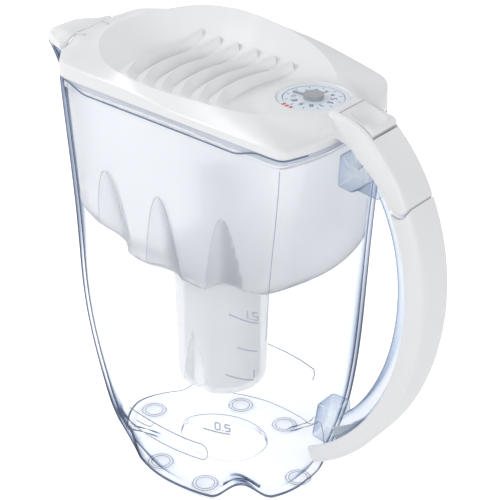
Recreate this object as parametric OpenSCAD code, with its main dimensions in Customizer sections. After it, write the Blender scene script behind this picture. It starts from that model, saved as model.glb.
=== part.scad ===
// Water filter pitcher with a flip lid.
// X runs from the spout (-) to the handle (+), Y across, Z up from the table.
// The origin is under the middle of the overall length, at table level.

/* [Jug] */
// Height of the jug's rim above the table
rim_z = 231.6; // [215:1:245]
// Thickness of the jug's wall
wall = 2.4; // [2:0.2:3]
// Thickness of the jug's wall above the funnel's ledge
rim_wall = 1.6; // [1.2:0.1:1.8]
// Thickness of the jug's floor
floor_t = 2.6; // [2:0.2:4]
// Height of the four arches between the feet
arch_h = 11; // [6:0.5:14]
// Depth of the finger dips in the rim's long sides
dip_h = 4.5; // [2:0.5:5]
// Height of the raised disc in the middle of the floor
floor_disc_h = 2; // [1:0.5:4]
// Reach of the spout's lip past the nose of the rim
spout_reach = 16.5; // [10:0.5:20]
// Rise of the spout's lip above the rim
spout_rise = 7; // [4:0.5:9]

/* [Jug sections] */
// Height of the heel section, where the bottom's rounding ends
heel_z = 45; // [35:1:60]
// Height of the waist section
waist_z = 120; // [100:1:135]
// Turn of the two back faces from straight back
back_turn = 22; // [18:1:26]
// Turn of the long sides, which spread towards the back
side_turn = 94.5; // [92:0.5:96]
// Turn of the two nose faces from straight back
nose_turn = 142.5; // [140:0.5:145]
// Reach of the back faces at the foot
foot_back = 89; // [80:1:95]
// Reach of the sides at the foot
foot_side = 55.5; // [52:0.5:60]
// Reach of the nose faces at the foot
foot_nose = 133; // [120:1:145]
// Reach of the front at the foot
foot_front = 92; // [85:1:100]
// Reach of the back faces at the heel
heel_back = 83; // [78:1:88]
// Reach of the sides at the heel
heel_side = 64; // [58:1:68]
// Reach of the nose faces at the heel
heel_nose = 99; // [92:1:106]
// Reach of the front at the heel
heel_front = 76; // [72:1:82]
// Reach of the back faces at the waist
waist_back = 84; // [80:1:88]
// Reach of the sides at the waist
waist_side = 51; // [48:0.5:54]
// Reach of the nose faces at the waist
waist_nose = 87; // [83:1:91]
// Reach of the front at the waist
waist_front = 109; // [104:1:114]
// Reach of the back faces at the rim
rim_back = 91; // [88:1:94]
// Reach of the flat middle of the back at the rim
rim_middle = 87; // [85:0.5:89]
// Reach of the sides at the rim
rim_side = 41.5; // [40:0.5:44]
// Reach of the nose faces at the rim
rim_nose = 92.5; // [90:0.5:96]
// Reach of the front at the rim
rim_front = 115.5; // [112:0.5:119]

/* [Feet] */
// Radius of a foot pad
pad_r = 8; // [5:0.5:8.5]
// Thickness of a foot pad
pad_t = 1.2; // [0.8:0.1:2]
// Distance of the two end pads from the middle of the foot
pad_end_x = 57.5; // [50:0.5:59]
// Distance of the four side pads from the middle, along the foot
pad_side_x = 17.6; // [12:0.2:22]
// Distance of the four side pads from the middle, across the foot
pad_side_y = 38.8; // [34:0.2:40]

/* [Handle] */
// Reach of the handle behind the middle of the foot
handle_reach = 144.2; // [138:0.5:152]
// Height of the handle's outermost point
handle_mid_z = 150; // [145:1:155]
// Height of the handle's upper bow above its outermost point
bow_up_h = 109.6; // [106:0.5:112]
// Height of the handle's lower bow below its outermost point
bow_low_h = 131; // [127:0.5:134]
// Centre of the upper bow, behind the middle of the foot
bow_up_x = 60; // [58:0.5:62]
// Centre of the lower bow, behind the middle of the foot
bow_low_x = 40; // [37:0.5:43]
// Width of the handle
handle_w = 27; // [25:0.5:30]
// Depth of the white cover's sides
cover_depth = 11; // [10:0.5:12.5]
// Thickness of the white covers
cover_t = 2.4; // [2:0.1:2.6]
// Depth of the clear core from the handle's outer face
core_depth = 20.5; // [18:0.5:24]
// Gap between the clear core and the covers
core_gap = 0.6; // [0.4:0.1:1]

/* [Lid] */
// Height of the lid's lower edge above the rim
lid_gap = 0.4; // [0.3:0.1:1]
// Height of the lid's skirt
skirt_h = 8; // [6:0.5:10]
// Thickness of the lid
lid_t = 2.4; // [2:0.1:3]
// Height of the lid's low edge above its skirt
crown_h = 6.5; // [4:0.5:8]
// Extra height of the lid's wave on its high side
wave_h = 22; // [12:1:26]
// Depth of the dish in the lid
dish_depth = 4; // [2:0.5:6]
// Number of ribs in the dish
rib_count = 6; // [3:1:6]
// Distance between neighbouring ribs
rib_pitch = 12.8; // [11:0.2:13]
// Height of a rib's step
rib_h = 5.4; // [3:0.2:6]
// Largest opening angle of the lid, for the clearance cuts
lid_open = 55; // [30:1:60]

/* [Hinges and lever] */
// Radius of the lid's hinge pin
pin_r = 1.5; // [1.2:0.1:1.8]
// Radial running clearance of the pins
pin_gap = 0.06; // [0.03:0.01:0.09]
// Radius of the lid's hinge barrel
barrel_r = 5.2; // [4.9:0.1:6]
// Radius of the lever's pin
lever_pin_r = 1.2; // [1:0.1:1.5]
// Width of the thumb lever
lever_w = 21; // [18:0.5:21.5]
// Gap round the parts that move against each other
move_gap = 0.5; // [0.4:0.05:0.8]
// Radius of the spout flap's pivots
flap_pivot_r = 1.2; // [1:0.1:1.5]
// Thickness of the spout flap
flap_t = 1.8; // [1.4:0.1:2.2]

/* [Calendar dial] */
// Radius of the dial's well in the lid
dial_well_r = 19.5; // [18:0.5:20]
// Radius of the dial
dial_r = 16.2; // [14:0.2:16.6]
// Radius of the dial's knob
dial_knob_r = 5.4; // [4.5:0.1:6]
// Radius of the dial's axle
dial_axle_r = 1.5; // [1.2:0.1:1.8]

/* [Funnel and cartridge] */
// Gap between the jug's wall and the funnel
funnel_gap = 0.6; // [0.4:0.1:1]
// Thickness of the funnel
funnel_t = 2; // [1.6:0.1:2.4]
// Depth of the funnel below the rim at its long sides
funnel_h = 98.6; // [92:1:105]
// Depth of the flutes in the funnel's side
flute_depth = 5; // [3:0.5:7]
// Radius of the cartridge
cartridge_r = 28.2; // [26:0.2:29]
// Distance from the cartridge's top flange to its bottom
cartridge_h = 82; // [70:1:90]
// Thickness of the cartridge's wall
cartridge_t = 1.8; // [1.4:0.1:2.4]

/* [Hidden] */
$fn = 64;

// ---- Plain values that follow from the sizes ----
foot_level = 3;
levels = [foot_level, heel_z, waist_z, rim_z];
// The last value of a section is 1 / how sharply its faces meet
sections = [[foot_back, foot_side, foot_nose, foot_front, 250, 1 / 1.95],
            [heel_back, heel_side, heel_nose, heel_front, 200, 1 / 3.6],
            [waist_back, waist_side, waist_nose, waist_front, 1.12 * rim_middle, 1 / 9.6],
            [rim_back, rim_side, rim_nose, rim_front, rim_middle, 1 / 33]];
half_turns = concat([for (a = [0:6:24]) a], [28, 30.5, 33, 37],
                    [for (a = [42:6:150]) a], [for (a = [155:5:180]) a]);
turns = concat(half_turns, [for (i = [len(half_turns) - 2:-1:1]) 360 - half_turns[i]]);

function sum(v, i = 0) = i < len(v) ? v[i] + sum(v, i + 1) : 0;
function smooth(t) = let (c = max(0, min(1, t))) c * c * (3 - 2 * c);
function hump(t) = abs(t) < 1 ? pow(cos(90 * t), 2) : 0;

// ---- The jug's section at a height ----
function slope_at(i) = let (a = max(0, i - 1), b = min(3, i + 1))
    (sections[b] - sections[a]) / (levels[b] - levels[a]);
function section(z) = let (
    k = z < heel_z ? 0 : z < waist_z ? 1 : 2,
    h = levels[k + 1] - levels[k],
    t = min(1, (z - levels[k]) / h),
    t2 = t * t, t3 = t2 * t)
    (2 * t3 - 3 * t2 + 1) * sections[k] + (t3 - 2 * t2 + t) * h * slope_at(k)
    + (3 * t2 - 2 * t3) * sections[k + 1] + (t3 - t2) * h * slope_at(k + 1);
function faces(s) = [[back_turn, s[0]], [-back_turn, s[0]], [side_turn, s[1]], [-side_turn, s[1]],
                     [nose_turn, s[2]], [-nose_turn, s[2]], [180, s[3]], [0, s[4]]];
function reach(a, s) =
    pow(sum([for (f = faces(s)) pow(max(0, cos(a - f[0])) / f[1], 1 / s[5])]), -s[5]);
function jug_r(a, z) = reach(a, section(z));
function at(a, r, z) = [r * cos(a), r * sin(a), z];

// ---- Skins ----
function middle(ring) = [for (i = [0:2]) sum([for (p = ring) p[i]]) / len(ring)];
// A closed solid from rings of points, each end closed by a fan
module skin(rings) {
    n = len(rings[0]);
    m = len(rings);
    ends = [middle(rings[0]), middle(rings[m - 1])];
    polyhedron(
        points = concat([for (r = rings) each r], ends),
        faces = concat(
            [for (i = [0:m - 2], j = [0:n - 1]) [i * n + j, (i + 1) * n + j, (i + 1) * n + (j + 1) % n]],
            [for (i = [0:m - 2], j = [0:n - 1]) [i * n + j, (i + 1) * n + (j + 1) % n, i * n + (j + 1) % n]],
            [for (j = [0:n - 1]) [m * n, j, (j + 1) % n]],
            [for (j = [0:n - 1]) [m * n + 1, (m - 1) * n + (j + 1) % n, (m - 1) * n + j]]));
}
// A solid from flat loops of points, each end closed by the triangles in cap
module tube(loops, cap) {
    n = len(loops[0]);
    m = len(loops);
    polyhedron(
        points = [for (l = loops) each l],
        faces = concat(
            [for (i = [0:m - 2], j = [0:n - 1]) [i * n + j, (i + 1) * n + j, (i + 1) * n + (j + 1) % n]],
            [for (i = [0:m - 2], j = [0:n - 1]) [i * n + j, (i + 1) * n + (j + 1) % n, i * n + (j + 1) % n]],
            cap,
            [for (c = cap) [for (i = [2:-1:0]) (m - 1) * n + c[i]]]));
}
// A rod along Y through (x, z)
module rod_y(x, z, r, half) translate([x, half, z]) rotate([90, 0, 0]) cylinder(r = r, h = 2 * half);
// A side outline in X and Z, given a width across Y
module plate_y(outline, half) translate([0, half, 0]) rotate([90, 0, 0])
    linear_extrude(2 * half) polygon(outline);

// ---- The handle's outer line ----
bow_neck_turn = 56;
neck_x = 80;
neck_z = rim_z + 17.6;
function bow_low(t) = [bow_low_x + (handle_reach - bow_low_x) * cos(t), handle_mid_z + bow_low_h * sin(t)];
function bow_up(t) = [bow_up_x + (handle_reach - bow_up_x) * cos(t), handle_mid_z + bow_up_h * sin(t)];
bow_end = bow_up(bow_neck_turn);
bow_knee = [bow_end[0] - (neck_z - bow_end[1]) * (handle_reach - bow_up_x) * tan(bow_neck_turn) / bow_up_h,
            neck_z];
function bow_neck(s) = (1 - s) * (1 - s) * bow_end + 2 * s * (1 - s) * bow_knee + s * s * [neck_x, neck_z];
function bow(t) = t < 0 ? bow_low(t) : t < bow_neck_turn ? bow_up(t)
    : bow_neck((t - bow_neck_turn) / (90 - bow_neck_turn));
function unit(v) = v / norm(v);
function bow_out(t) = let (d = unit(bow(min(90, t + 0.5)) - bow(min(90, t + 0.5) - 1))) [d[1], -d[0]];
function bow_at(t, u) = bow(t) - u * bow_out(t);
function on_bow(t, u, y) = let (p = bow_at(t, u)) [p[0], y, p[1]];

// The turn at which the upper bow passes over x, and its height there
function turn_over(x, low = 34, high = 90, n = 24) = n == 0 ? low : let (mid = (low + high) / 2)
    bow(mid)[0] > x ? turn_over(x, mid, high, n - 1) : turn_over(x, low, mid, n - 1);
function bow_over(x) = bow(turn_over(x))[1];

// The hinge pin's place under the handle's skin
hinge_turn = 33;
hinge = bow_at(hinge_turn, barrel_r);
half_w = handle_w / 2;
channel_half = half_w - cover_t;
core_half = channel_half - core_gap;
hinge_clear_r = barrel_r / cos(lid_open / 2) + 0.12;
knuckle_r = barrel_r - 2.1;
shell_in_r = knuckle_r + 0.4;

// The origin is under the middle of the overall length
tip_x = -(jug_r(180, rim_z) + spout_reach);
mid_x = (handle_reach + tip_x) / 2;
module at_origin() translate([-mid_x, 0, 0]) children();

// ---- Jug ----
arch_turn = 41;
arch_half_turn = 18;
function arch(a) = let (b = a > 180 ? 360 - a : a)
    arch_h * (hump((b - arch_turn) / arch_half_turn) + hump((b - 180 + arch_turn) / arch_half_turn));
function dip(a) = let (x = jug_r(a, rim_z) * cos(a)) dip_h * smooth((x + 86) / 20) * smooth((64 - x) / 20);
spout_half_turn = 14;
function spout(a) = hump((a - 180) / spout_half_turn);
edge_r = 2.4;
disc_part = 0.42;
function floor_z(a, part) = pad_t + arch(a) * smooth((part - 0.5) / 0.5)
    + (part < disc_part + 0.01 ? floor_disc_h : 0);
floor_parts = [0.04, disc_part, disc_part + 0.04, 0.62, 0.8, 0.92];
wall_levels = concat([for (p = [0.4, 0.67]) p * heel_z],
                     [for (p = [0, 0.23, 0.53, 0.79]) heel_z + p * (waist_z - heel_z)],
                     [for (p = [0, 0.27, 0.54, 0.75]) waist_z + p * (rim_z - waist_z)], [rim_z - 16, rim_z - 8]);
function flare(z) = spout_reach * pow(max(0, 1 - (rim_z - z) / 24), 2.2);
ledge_in = wall + 1;
ledge_z = rim_z - 5.6;
function rim_at(a, inset) = at(a, jug_r(a, rim_z) + spout_reach * spout(a) - inset,
                               rim_z - dip(a) + spout_rise * spout(a));
module jug_body() color([0.86, 0.92, 0.98, 0.35]) at_origin() {
    low = [for (p = floor_parts) [for (a = turns) at(a, p * jug_r(a, foot_level), floor_z(a, p))]];
    heel = [[for (a = turns) at(a, jug_r(a, foot_level) - edge_r, pad_t + arch(a))],
            [for (a = turns) at(a, jug_r(a, foot_level), pad_t + arch(a) + edge_r)]];
    outside = [for (z = wall_levels) [for (a = turns) at(a, jug_r(a, z) + flare(z) * spout(a), z)]];
    rim = [[for (a = turns) rim_at(a, 0)], [for (a = turns) rim_at(a, rim_wall)]];
    ledge = [for (inset = [rim_wall, ledge_in])
        [for (a = turns) at(a, jug_r(a, ledge_z) + flare(ledge_z) * spout(a) - inset, ledge_z)]];
    inside = [for (i = [len(wall_levels) - 2:-1:0]) let (z = max(wall_levels[i], pad_t + arch_h + floor_t + 6))
        [for (a = turns) at(a, jug_r(a, z) + flare(z) * spout(a) - wall, z)]];
    high = [for (i = [len(floor_parts) - 1:-1:0]) let (p = floor_parts[i])
        [for (a = turns) at(a, p * (jug_r(a, foot_level) - wall / 2), floor_z(a, p) + floor_t)]];
    skin(concat(low, heel, outside, rim, ledge, inside, high));
}
pad_places = [[-pad_end_x, 0], [pad_end_x, 0], [-pad_side_x, pad_side_y], [-pad_side_x, -pad_side_y],
              [pad_side_x, pad_side_y], [pad_side_x, -pad_side_y]];
module foot_pads() color([0.9, 0.93, 0.96]) at_origin()
    for (p = pad_places) translate([p[0], p[1], 0]) cylinder(r = pad_r, h = pad_t);

// ---- Handle ----
// Outline of a cover: a channel that opens towards the fingers
function cover_loop(t, depth) = [for (p = [
    [depth, -half_w], [3, -half_w], [0.9, 0.9 - half_w], [0, 3.5 - half_w],
    [0, half_w - 3.5], [0.9, half_w - 0.9], [3, half_w], [depth, half_w],
    [depth, channel_half], [cover_t, channel_half], [cover_t, -channel_half], [depth, -channel_half]])
    on_bow(t, p[0], p[1])];
cover_cap = [[0, 1, 10], [0, 10, 11], [1, 2, 10], [2, 3, 10], [3, 4, 10], [4, 9, 10],
             [4, 5, 9], [5, 6, 9], [6, 7, 9], [7, 8, 9]];
low_turns = concat([for (t = [-68.5:5.5:-2.5]) t], [for (t = [2:4.9:31.4]) t]);
module handle_cover() color([0.95, 0.96, 0.97]) at_origin() difference() {
    tube([for (t = low_turns) cover_loop(t, cover_depth)], cover_cap);
    rod_y(hinge[0], hinge[1], hinge_clear_r, half_w + 1);
}
core_in = cover_t + core_gap;
finger_half = core_half - 2;
function core_loop(t) = [for (p = [
    [core_in, -core_half], [core_in, core_half], [cover_depth, core_half], [cover_depth + 1.5, finger_half],
    [core_depth - 2, finger_half], [core_depth, finger_half - 2], [core_depth, 2 - finger_half],
    [core_depth - 2, -finger_half], [cover_depth + 1.5, -finger_half], [cover_depth, -core_half]])
    on_bow(t, p[0], p[1])];
core_cap = [[0, 1, 9], [1, 2, 9], [2, 3, 9], [3, 8, 9], [3, 4, 8], [4, 7, 8], [4, 5, 7], [5, 6, 7]];
latch_x = rim_middle + 10.6;
lever_hinge = [latch_x - 1.6, bow_over(latch_x - 1.6) - 7];
seat_x = latch_x + 3;
seat_t = 1.6;
seat_z = bow_over(seat_x + 2.5) - cover_depth - 4.8;
latch_z = seat_z - 4.4;
core_low_turn = -57;
core_top_turn = asin((seat_z - 1.85 - handle_mid_z) / bow_up_h);
core_turns = [for (i = [0:17]) core_low_turn + i * (core_top_turn - core_low_turn) / 17];
wall_grip = 1.2;
function back_x(z) = jug_r(0, z) - wall_grip;
module handle_core() color([0.80, 0.88, 0.97, 0.45]) at_origin() difference() {
    union() {
        difference() {
            union() {
                tube([for (t = core_turns) core_loop(t)], core_cap);
                // Arm from the jug's wall to the grip, with the latch's tooth
                plate_y([[back_x(latch_z - 5), latch_z + 0.4], [latch_x - 9, latch_z], [latch_x - 6, latch_z - 4],
                         [latch_x, latch_z - 5.5], [latch_x + 2, latch_z - 1.2], [latch_x + 4.5, latch_z - 1.2],
                         [latch_x + 6, latch_z - 5.5], bow_at(core_top_turn, core_in + 3),
                         bow_at(core_top_turn - 8, core_depth - 0.5), [latch_x, latch_z - 17],
                         [latch_x - 4, latch_z - 19.5], [back_x(latch_z - 18), latch_z - 18]], finger_half - 0.5);
                // Root at the jug's heel
                plate_y([[back_x(heel_z + 21), heel_z + 21], [back_x(heel_z + 21) + 13, heel_z + 21], bow_at(core_low_turn + 4, core_depth),
                         bow_at(core_low_turn + 2, core_in + 1), bow_at(core_low_turn - 3, core_in),
                         [back_x(heel_z - 3), heel_z - 3]], finger_half - 0.5);
            }
            rod_y(hinge[0], hinge[1], hinge_clear_r, half_w + 1);
        }
        rod_y(hinge[0], hinge[1], knuckle_r, core_half - 0.2);
        translate([hinge[0], 0, hinge[1]]) rotate([0, 150, 0])
            translate([0, 0.2 - core_half, -1.3]) cube([10, 2 * core_half - 0.4, 2.6]);
    }
    rod_y(hinge[0], hinge[1], pin_r, half_w);
}
pin_half = channel_half + 1.3;
module lid_hinge_pin() color([0.75, 0.76, 0.78]) at_origin()
    rod_y(hinge[0], hinge[1], pin_r, pin_half - 0.2);

// ---- Funnel ----
nose_gap = 6;
nose_half_turn = 22;
function funnel_r(a, z) = jug_r(a, z) - ledge_in - funnel_gap - nose_gap * hump((a - 180) / nose_half_turn);
function fold(a) = a > 180 ? 360 - a : a;
function funnel_low(a) = rim_z - funnel_h + 5 + 22 * smooth((fold(a) - 118) / 52) + 11.5 * smooth((66 - fold(a)) / 28);
well_r = cartridge_r + 0.8;
well_z = rim_z - funnel_h - 1.5;
flute_tips = [50, 106, 144];
flute_feet = [50.5, 96, 136.5];
flute_halves = [9.5, 18, 8];
flute_tops = [for (p = [0.46, 0.5, 0.47]) rim_z - p * funnel_h];
flute_end = rim_z - 0.455 * funnel_h;
// How far down flute i the height z lies, from 0 at its tip to 1 at the funnel's edge
function flute_down(i, z) = let (low = funnel_low(flute_feet[i]))
    max(0, min(1, (flute_tops[i] - z) / (flute_tops[i] - low)));
// How deep the flutes reach in at turn a and height z
function flute(a, z) = sum([for (i = [0:2]) let (down = flute_down(i, z),
    off = fold(a) - flute_tips[i] - down * (flute_feet[i] - flute_tips[i]))
    flute_depth * down * max(0, 1 - pow(off / (flute_halves[i] * sqrt(down) + 0.01), 2))]);
flange_z = ledge_z + 0.3;
flange_t = 1.6;
function side(a, z, inset) = at(a, funnel_r(a, z) - flute(a, z) - inset, z);
function flange(a, z) = at(a, jug_r(a, rim_z) - rim_wall - 0.5 - nose_gap * hump((a - 180) / nose_half_turn), z);
function step_z(a, part) = funnel_low(a) + part * (flute_end - funnel_low(a));
function slant(a, part, z0) = let (r = funnel_r(a, funnel_low(a)) - flute(a, funnel_low(a)) - 3)
    at(a, well_r + 3 + part * (r - well_r - 3), well_z + z0 + part * (funnel_low(a) - well_z));
module funnel() color([0.93, 0.94, 0.96, 0.8]) at_origin() {
    parts = [0.02, 0.25, 0.5, 0.75, 1];
    high_z = [rim_z - 0.37 * funnel_h, rim_z - 0.24 * funnel_h, flange_z];
    under = [[for (a = turns) at(a, 8, well_z)], [for (a = turns) at(a, well_r + 3, well_z)],
             [for (a = turns) slant(a, 0.6, 0)], [for (a = turns) slant(a, 1, 0)]];
    outside = concat([for (p = parts) [for (a = turns) side(a, step_z(a, p) + 2 * (1 - p), 0)]],
                     [for (z = high_z) [for (a = turns) side(a, z, 0)]]);
    edge = [[for (a = turns) flange(a, flange_z)], [for (a = turns) flange(a, flange_z + flange_t)]];
    inside = concat([[for (a = turns) side(a, flange_z + flange_t, funnel_t)]],
                    [for (i = [1:-1:0]) [for (a = turns) side(a, high_z[i], funnel_t)]],
                    [for (i = [len(parts) - 1:-1:0])
                        [for (a = turns) side(a, step_z(a, parts[i]) + (funnel_t + 1) * (1 - parts[i]), funnel_t)]]);
    over = [[for (a = turns) slant(a, 0.9, funnel_t)], [for (a = turns) slant(a, 0.5, funnel_t)],
            [for (a = turns) at(a, well_r + 3, well_z + funnel_t)], [for (a = turns) at(a, 8, well_z + funnel_t)]];
    difference() {
        union() {
            skin(concat(under, outside, edge, inside, over));
            translate([0, 0, well_z - 4]) cylinder(r = well_r + 1.5, h = 5);
        }
        translate([0, 0, well_z - 10]) cylinder(r = well_r, h = 20);
    }
}

// ---- Cartridge ----
seal_r = 0.75;
cart_z = well_z + funnel_t + 2 * seal_r + 0.1;
cart_low = cart_z - cartridge_h;
media_r = cartridge_r - 6;
bottom_r = cartridge_r - 2;
screen_r = 19;
module cartridge_housing() color([0.93, 0.95, 0.98]) at_origin() difference() {
    rotate_extrude() polygon([[media_r + 0.4, cart_low + 3], [screen_r + 0.3, cart_low + 3], [screen_r + 0.3, cart_low],
        [bottom_r - 4, cart_low], [bottom_r - 1, cart_low + 1.5], [bottom_r, cart_low + 5],
        [cartridge_r, cart_z], [cartridge_r + 3, cart_z], [cartridge_r + 3, cart_z + 2],
        [cartridge_r - cartridge_t, cart_z + 2], [cartridge_r - cartridge_t, cart_z - 6],
        [media_r + 0.4, cart_z - 8]]);
    for (a = [90, 270]) rotate(a) translate([bottom_r - 4, 0, 0]) rotate([90, 0, 90])
        linear_extrude(10) polygon([[-9, cart_low - 1], [9, cart_low - 1], [0, cart_low + 37]]);
}
cap_z = cart_z + 2.1;
cap_neck_r = 13;
cap_h = 48;
module cartridge_cap() color([0.88, 0.90, 0.93]) at_origin() difference() {
    rotate_extrude() polygon([[0, cap_z + cap_h], [cap_neck_r - 2, cap_z + cap_h], [cap_neck_r, cap_z + cap_h - 2],
        [cap_neck_r, cap_z + 13], [cartridge_r - 6, cap_z + 8], [cartridge_r - 2.2, cap_z + 2],
        [cartridge_r + 2, cap_z + 2], [cartridge_r + 2, cap_z], [cartridge_r - 4, cap_z],
        [cap_neck_r - 2, cap_z + 11], [cap_neck_r - 2, cap_z + cap_h - 2], [0, cap_z + cap_h - 2]]);
    for (a = [0:45:135]) rotate(a) translate([-30, -1, cap_z + cap_h - 14]) cube([60, 2, 8]);
}
module cartridge_grip() color([0.90, 0.92, 0.95]) at_origin() translate([0, 0, cap_z + cap_h]) {
    translate([-8, -1.5, 0]) cube([2.5, 3, 6]);
    translate([5.5, -1.5, 0]) cube([2.5, 3, 6]);
    translate([-8, -1.5, 6]) cube([16, 3, 2.2]);
}
module cartridge_seal() color([0.55, 0.57, 0.60]) at_origin() translate([0, 0, well_z + funnel_t + seal_r + 0.05])
    rotate_extrude() translate([well_r + 1, 0]) circle(r = seal_r, $fn = 24);
module cartridge_screen() color([0.85, 0.87, 0.9]) at_origin() difference() {
    translate([0, 0, cart_low + 0.6]) cylinder(r = screen_r, h = 1.6);
    for (x = [-12:6:12]) translate([x - 1, -9, cart_low]) cube([2, 18, 4]);
}
module filter_media() color([0.25, 0.25, 0.27]) at_origin()
    translate([0, 0, cart_low + 3.2]) cylinder(r = media_r, h = cartridge_h - 13);

// ---- Lid ----
lid_z = rim_z + lid_gap;
crown_z = lid_z + skirt_h + crown_h;
dial_x = 63;
function lid_r(a) = reach(a, sections[3]);
// A scoop fills the lid's top, and the ridge round it rises to positive Y like a wave
scoop_x = -8;
function scoop_r(a) = let (p = cos(a) > 0 ? 4 : 2, l = cos(a) > 0 ? 73 : 74.5)
    pow(pow(abs(cos(a)) / l, p) + pow(abs(sin(a)) / (rim_side - 4.6), p), -1 / p);
ridge_shape = [[0, 0.02], [20, 0.08], [27, 0.22], [32, 0.44], [41, 0.66], [53, 0.82], [76, 0.95], [103, 1],
               [127, 0.96], [141, 0.87], [150, 0.76], [162, 0.56], [173, 0.42], [183, 0.28], [192, 0.04],
               [205, -0.08], [270, -0.11], [320, -0.08], [345, -0.02], [360, 0.02]];
function ridge(a) = crown_z + wave_h * lookup(a, ridge_shape);
// How far the lid's rounded shoulder lies below the ridge at each turn
shoulder_drop = [[0, 9], [28, 8.5], [45, 5], [60, 4], [150, 4], [165, 6], [180, 8.3], [190, 5], [205, 4.5],
                 [225, 4.8], [245, 6], [265, 7.4], [300, 7.9], [340, 8.5], [360, 9]];
function shoulder(a) = ridge(a) - lookup(a, shoulder_drop);
front_z = crown_z + 3;
// The seam at the spout flap is level, and the dial's ring stands on a low mound
function top_z(x, y, z) = let (
    front = smooth((-86 - x) / 6), ring = 1 - smooth((norm([x - dial_x, y]) - dial_well_r - 2) / 12),
    level = front * front_z + (1 - front) * z)
    ring * (crown_z + 0.8) + (1 - ring) * level;
function rim_point(a, in, z) = [(lid_r(a) - in) * cos(a), (lid_r(a) - in) * sin(a), z];
function scoop_point(a, part, down) = let (
    floor_z = crown_z - dish_depth, x = scoop_x + part * scoop_r(a) * cos(a), y = part * scoop_r(a) * sin(a))
    [x, y, top_z(x, y, floor_z + (ridge(a) - floor_z) * pow(part, 3)) - down];
function slope_point(a, part, in, down) = let (
    p = rim_point(a, in, shoulder(a)), q = scoop_point(a, 1, 0), x = p[0] + part * (q[0] - p[0]),
    y = p[1] + part * (q[1] - p[1]))
    [x, y, (part > 0 ? top_z(x, y, p[2] + part * (ridge(a) - p[2])) : p[2]) - down];
scoop_parts = [0.84, 0.66, 0.46, 0.06];
flap_cut_x = -98;
flap_hinge = [-94.5, front_z - 2.2];
flap_barrel_r = 2.4;
flap_back = flap_cut_x - 0.9;
flap_slot = 15.5;
rib_centre = [6.2, -4.3];
rib_radius = 47.5;
upper_turns = [for (i = [0:9]) hinge_turn + i * (88 - hinge_turn) / 9];
function cover_deep(t) = cover_depth + 3 * smooth((t - 34) / 20);
module lid_shell() {
    n = len(scoop_parts);
    under = [for (i = [n - 1:-1:0]) [for (a = turns) scoop_point(a, scoop_parts[i], lid_t)]];
    over = [for (i = [0:n - 1]) [for (a = turns) scoop_point(a, scoop_parts[i], 0)]];
    skin(concat(under, [[for (a = turns) scoop_point(a, 1, lid_t)]],
        [[for (a = turns) slope_point(a, 0.5, 1.5 + lid_t, lid_t)]],
        [[for (a = turns) rim_point(a, 1.5 + lid_t, shoulder(a) - lid_t)]],
        [[for (a = turns) rim_point(a, lid_t, lid_z)]], [[for (a = turns) rim_point(a, 0, lid_z)]],
        [[for (a = turns) rim_point(a, 0.3, shoulder(a) - 1.8)]],
        [[for (a = turns) slope_point(a, 0, 1.5, 0)]], [[for (a = turns) slope_point(a, 0.5, 1.5, 0)]],
        [[for (a = turns) scoop_point(a, 1, 0)]], over));
}
module rib(i) translate([rib_centre[0] + i * rib_pitch, rib_centre[1], crown_z - dish_depth]) rotate([6, 0, 0])
    rotate(142) rotate_extrude(angle = 83, $fn = 72)
        polygon([[rib_radius, -0.6], [rib_radius, 0.2], [rib_radius + 3, rib_h],
                 [rib_radius + rib_pitch * 0.95, 0.2], [rib_radius + rib_pitch * 0.95, -0.6]]);
module ribs() intersection() {
    union() for (i = [0:rib_count - 1]) rib(i);
    translate([0, 0, lid_z]) linear_extrude(60)
        polygon([for (a = turns) [scoop_x + 0.97 * scoop_r(a) * cos(a), 0.97 * scoop_r(a) * sin(a)]]);
}
module lid() color([0.95, 0.96, 0.97]) at_origin() difference() {
    union() {
        difference() {
            union() {
                lid_shell();
                ribs();
                translate([dial_x, 0, crown_z - 5]) cylinder(r = dial_well_r + 2.4, h = 6.4);
                for (s = [-1, 1]) translate([0, s * (flap_slot + 2), 0])
                    rod_y(flap_hinge[0], flap_hinge[1], 2.6, 2);
                tube([for (t = upper_turns) cover_loop(t, cover_deep(t))], cover_cap);
                translate([seat_x, -channel_half - 1, seat_z]) cube([5, 2 * channel_half + 2, seat_t + 1]);
            }
            // Room for the spout flap
            translate([flap_cut_x - 60, -60, lid_z - 10]) cube([60, 120, 60]);
            translate([flap_cut_x - 60, -flap_slot, lid_z - 10])
                cube([60 + flap_hinge[0] + flap_barrel_r + move_gap - flap_cut_x, 2 * flap_slot, 60]);
            // Room for the thumb lever
            translate([lever_hinge[0] - 9, -channel_half, seat_z + seat_t])
                cube([21.6, 2 * channel_half, 40]);
            translate([dial_x, 0, crown_z - 2]) cylinder(r = dial_well_r, h = 30);
        }
        rod_y(hinge[0], hinge[1], barrel_r, half_w);
    }
    rod_y(hinge[0], hinge[1], shell_in_r, channel_half);
    translate([0, channel_half, 0]) rotate([90, 0, 0]) linear_extrude(2 * channel_half)
        polygon(concat([hinge], [for (a = [-175:23:-60]) hinge + 9 * [cos(a), sin(a)]]));
    rod_y(hinge[0], hinge[1], pin_r + pin_gap, pin_half);
    rod_y(flap_hinge[0], flap_hinge[1], flap_pivot_r + pin_gap, flap_slot + 3.2);
    rod_y(lever_hinge[0], lever_hinge[1], lever_pin_r, pin_half);
    translate([dial_x, 0, crown_z - 4]) cylinder(r = dial_axle_r, h = 10);
}

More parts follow.
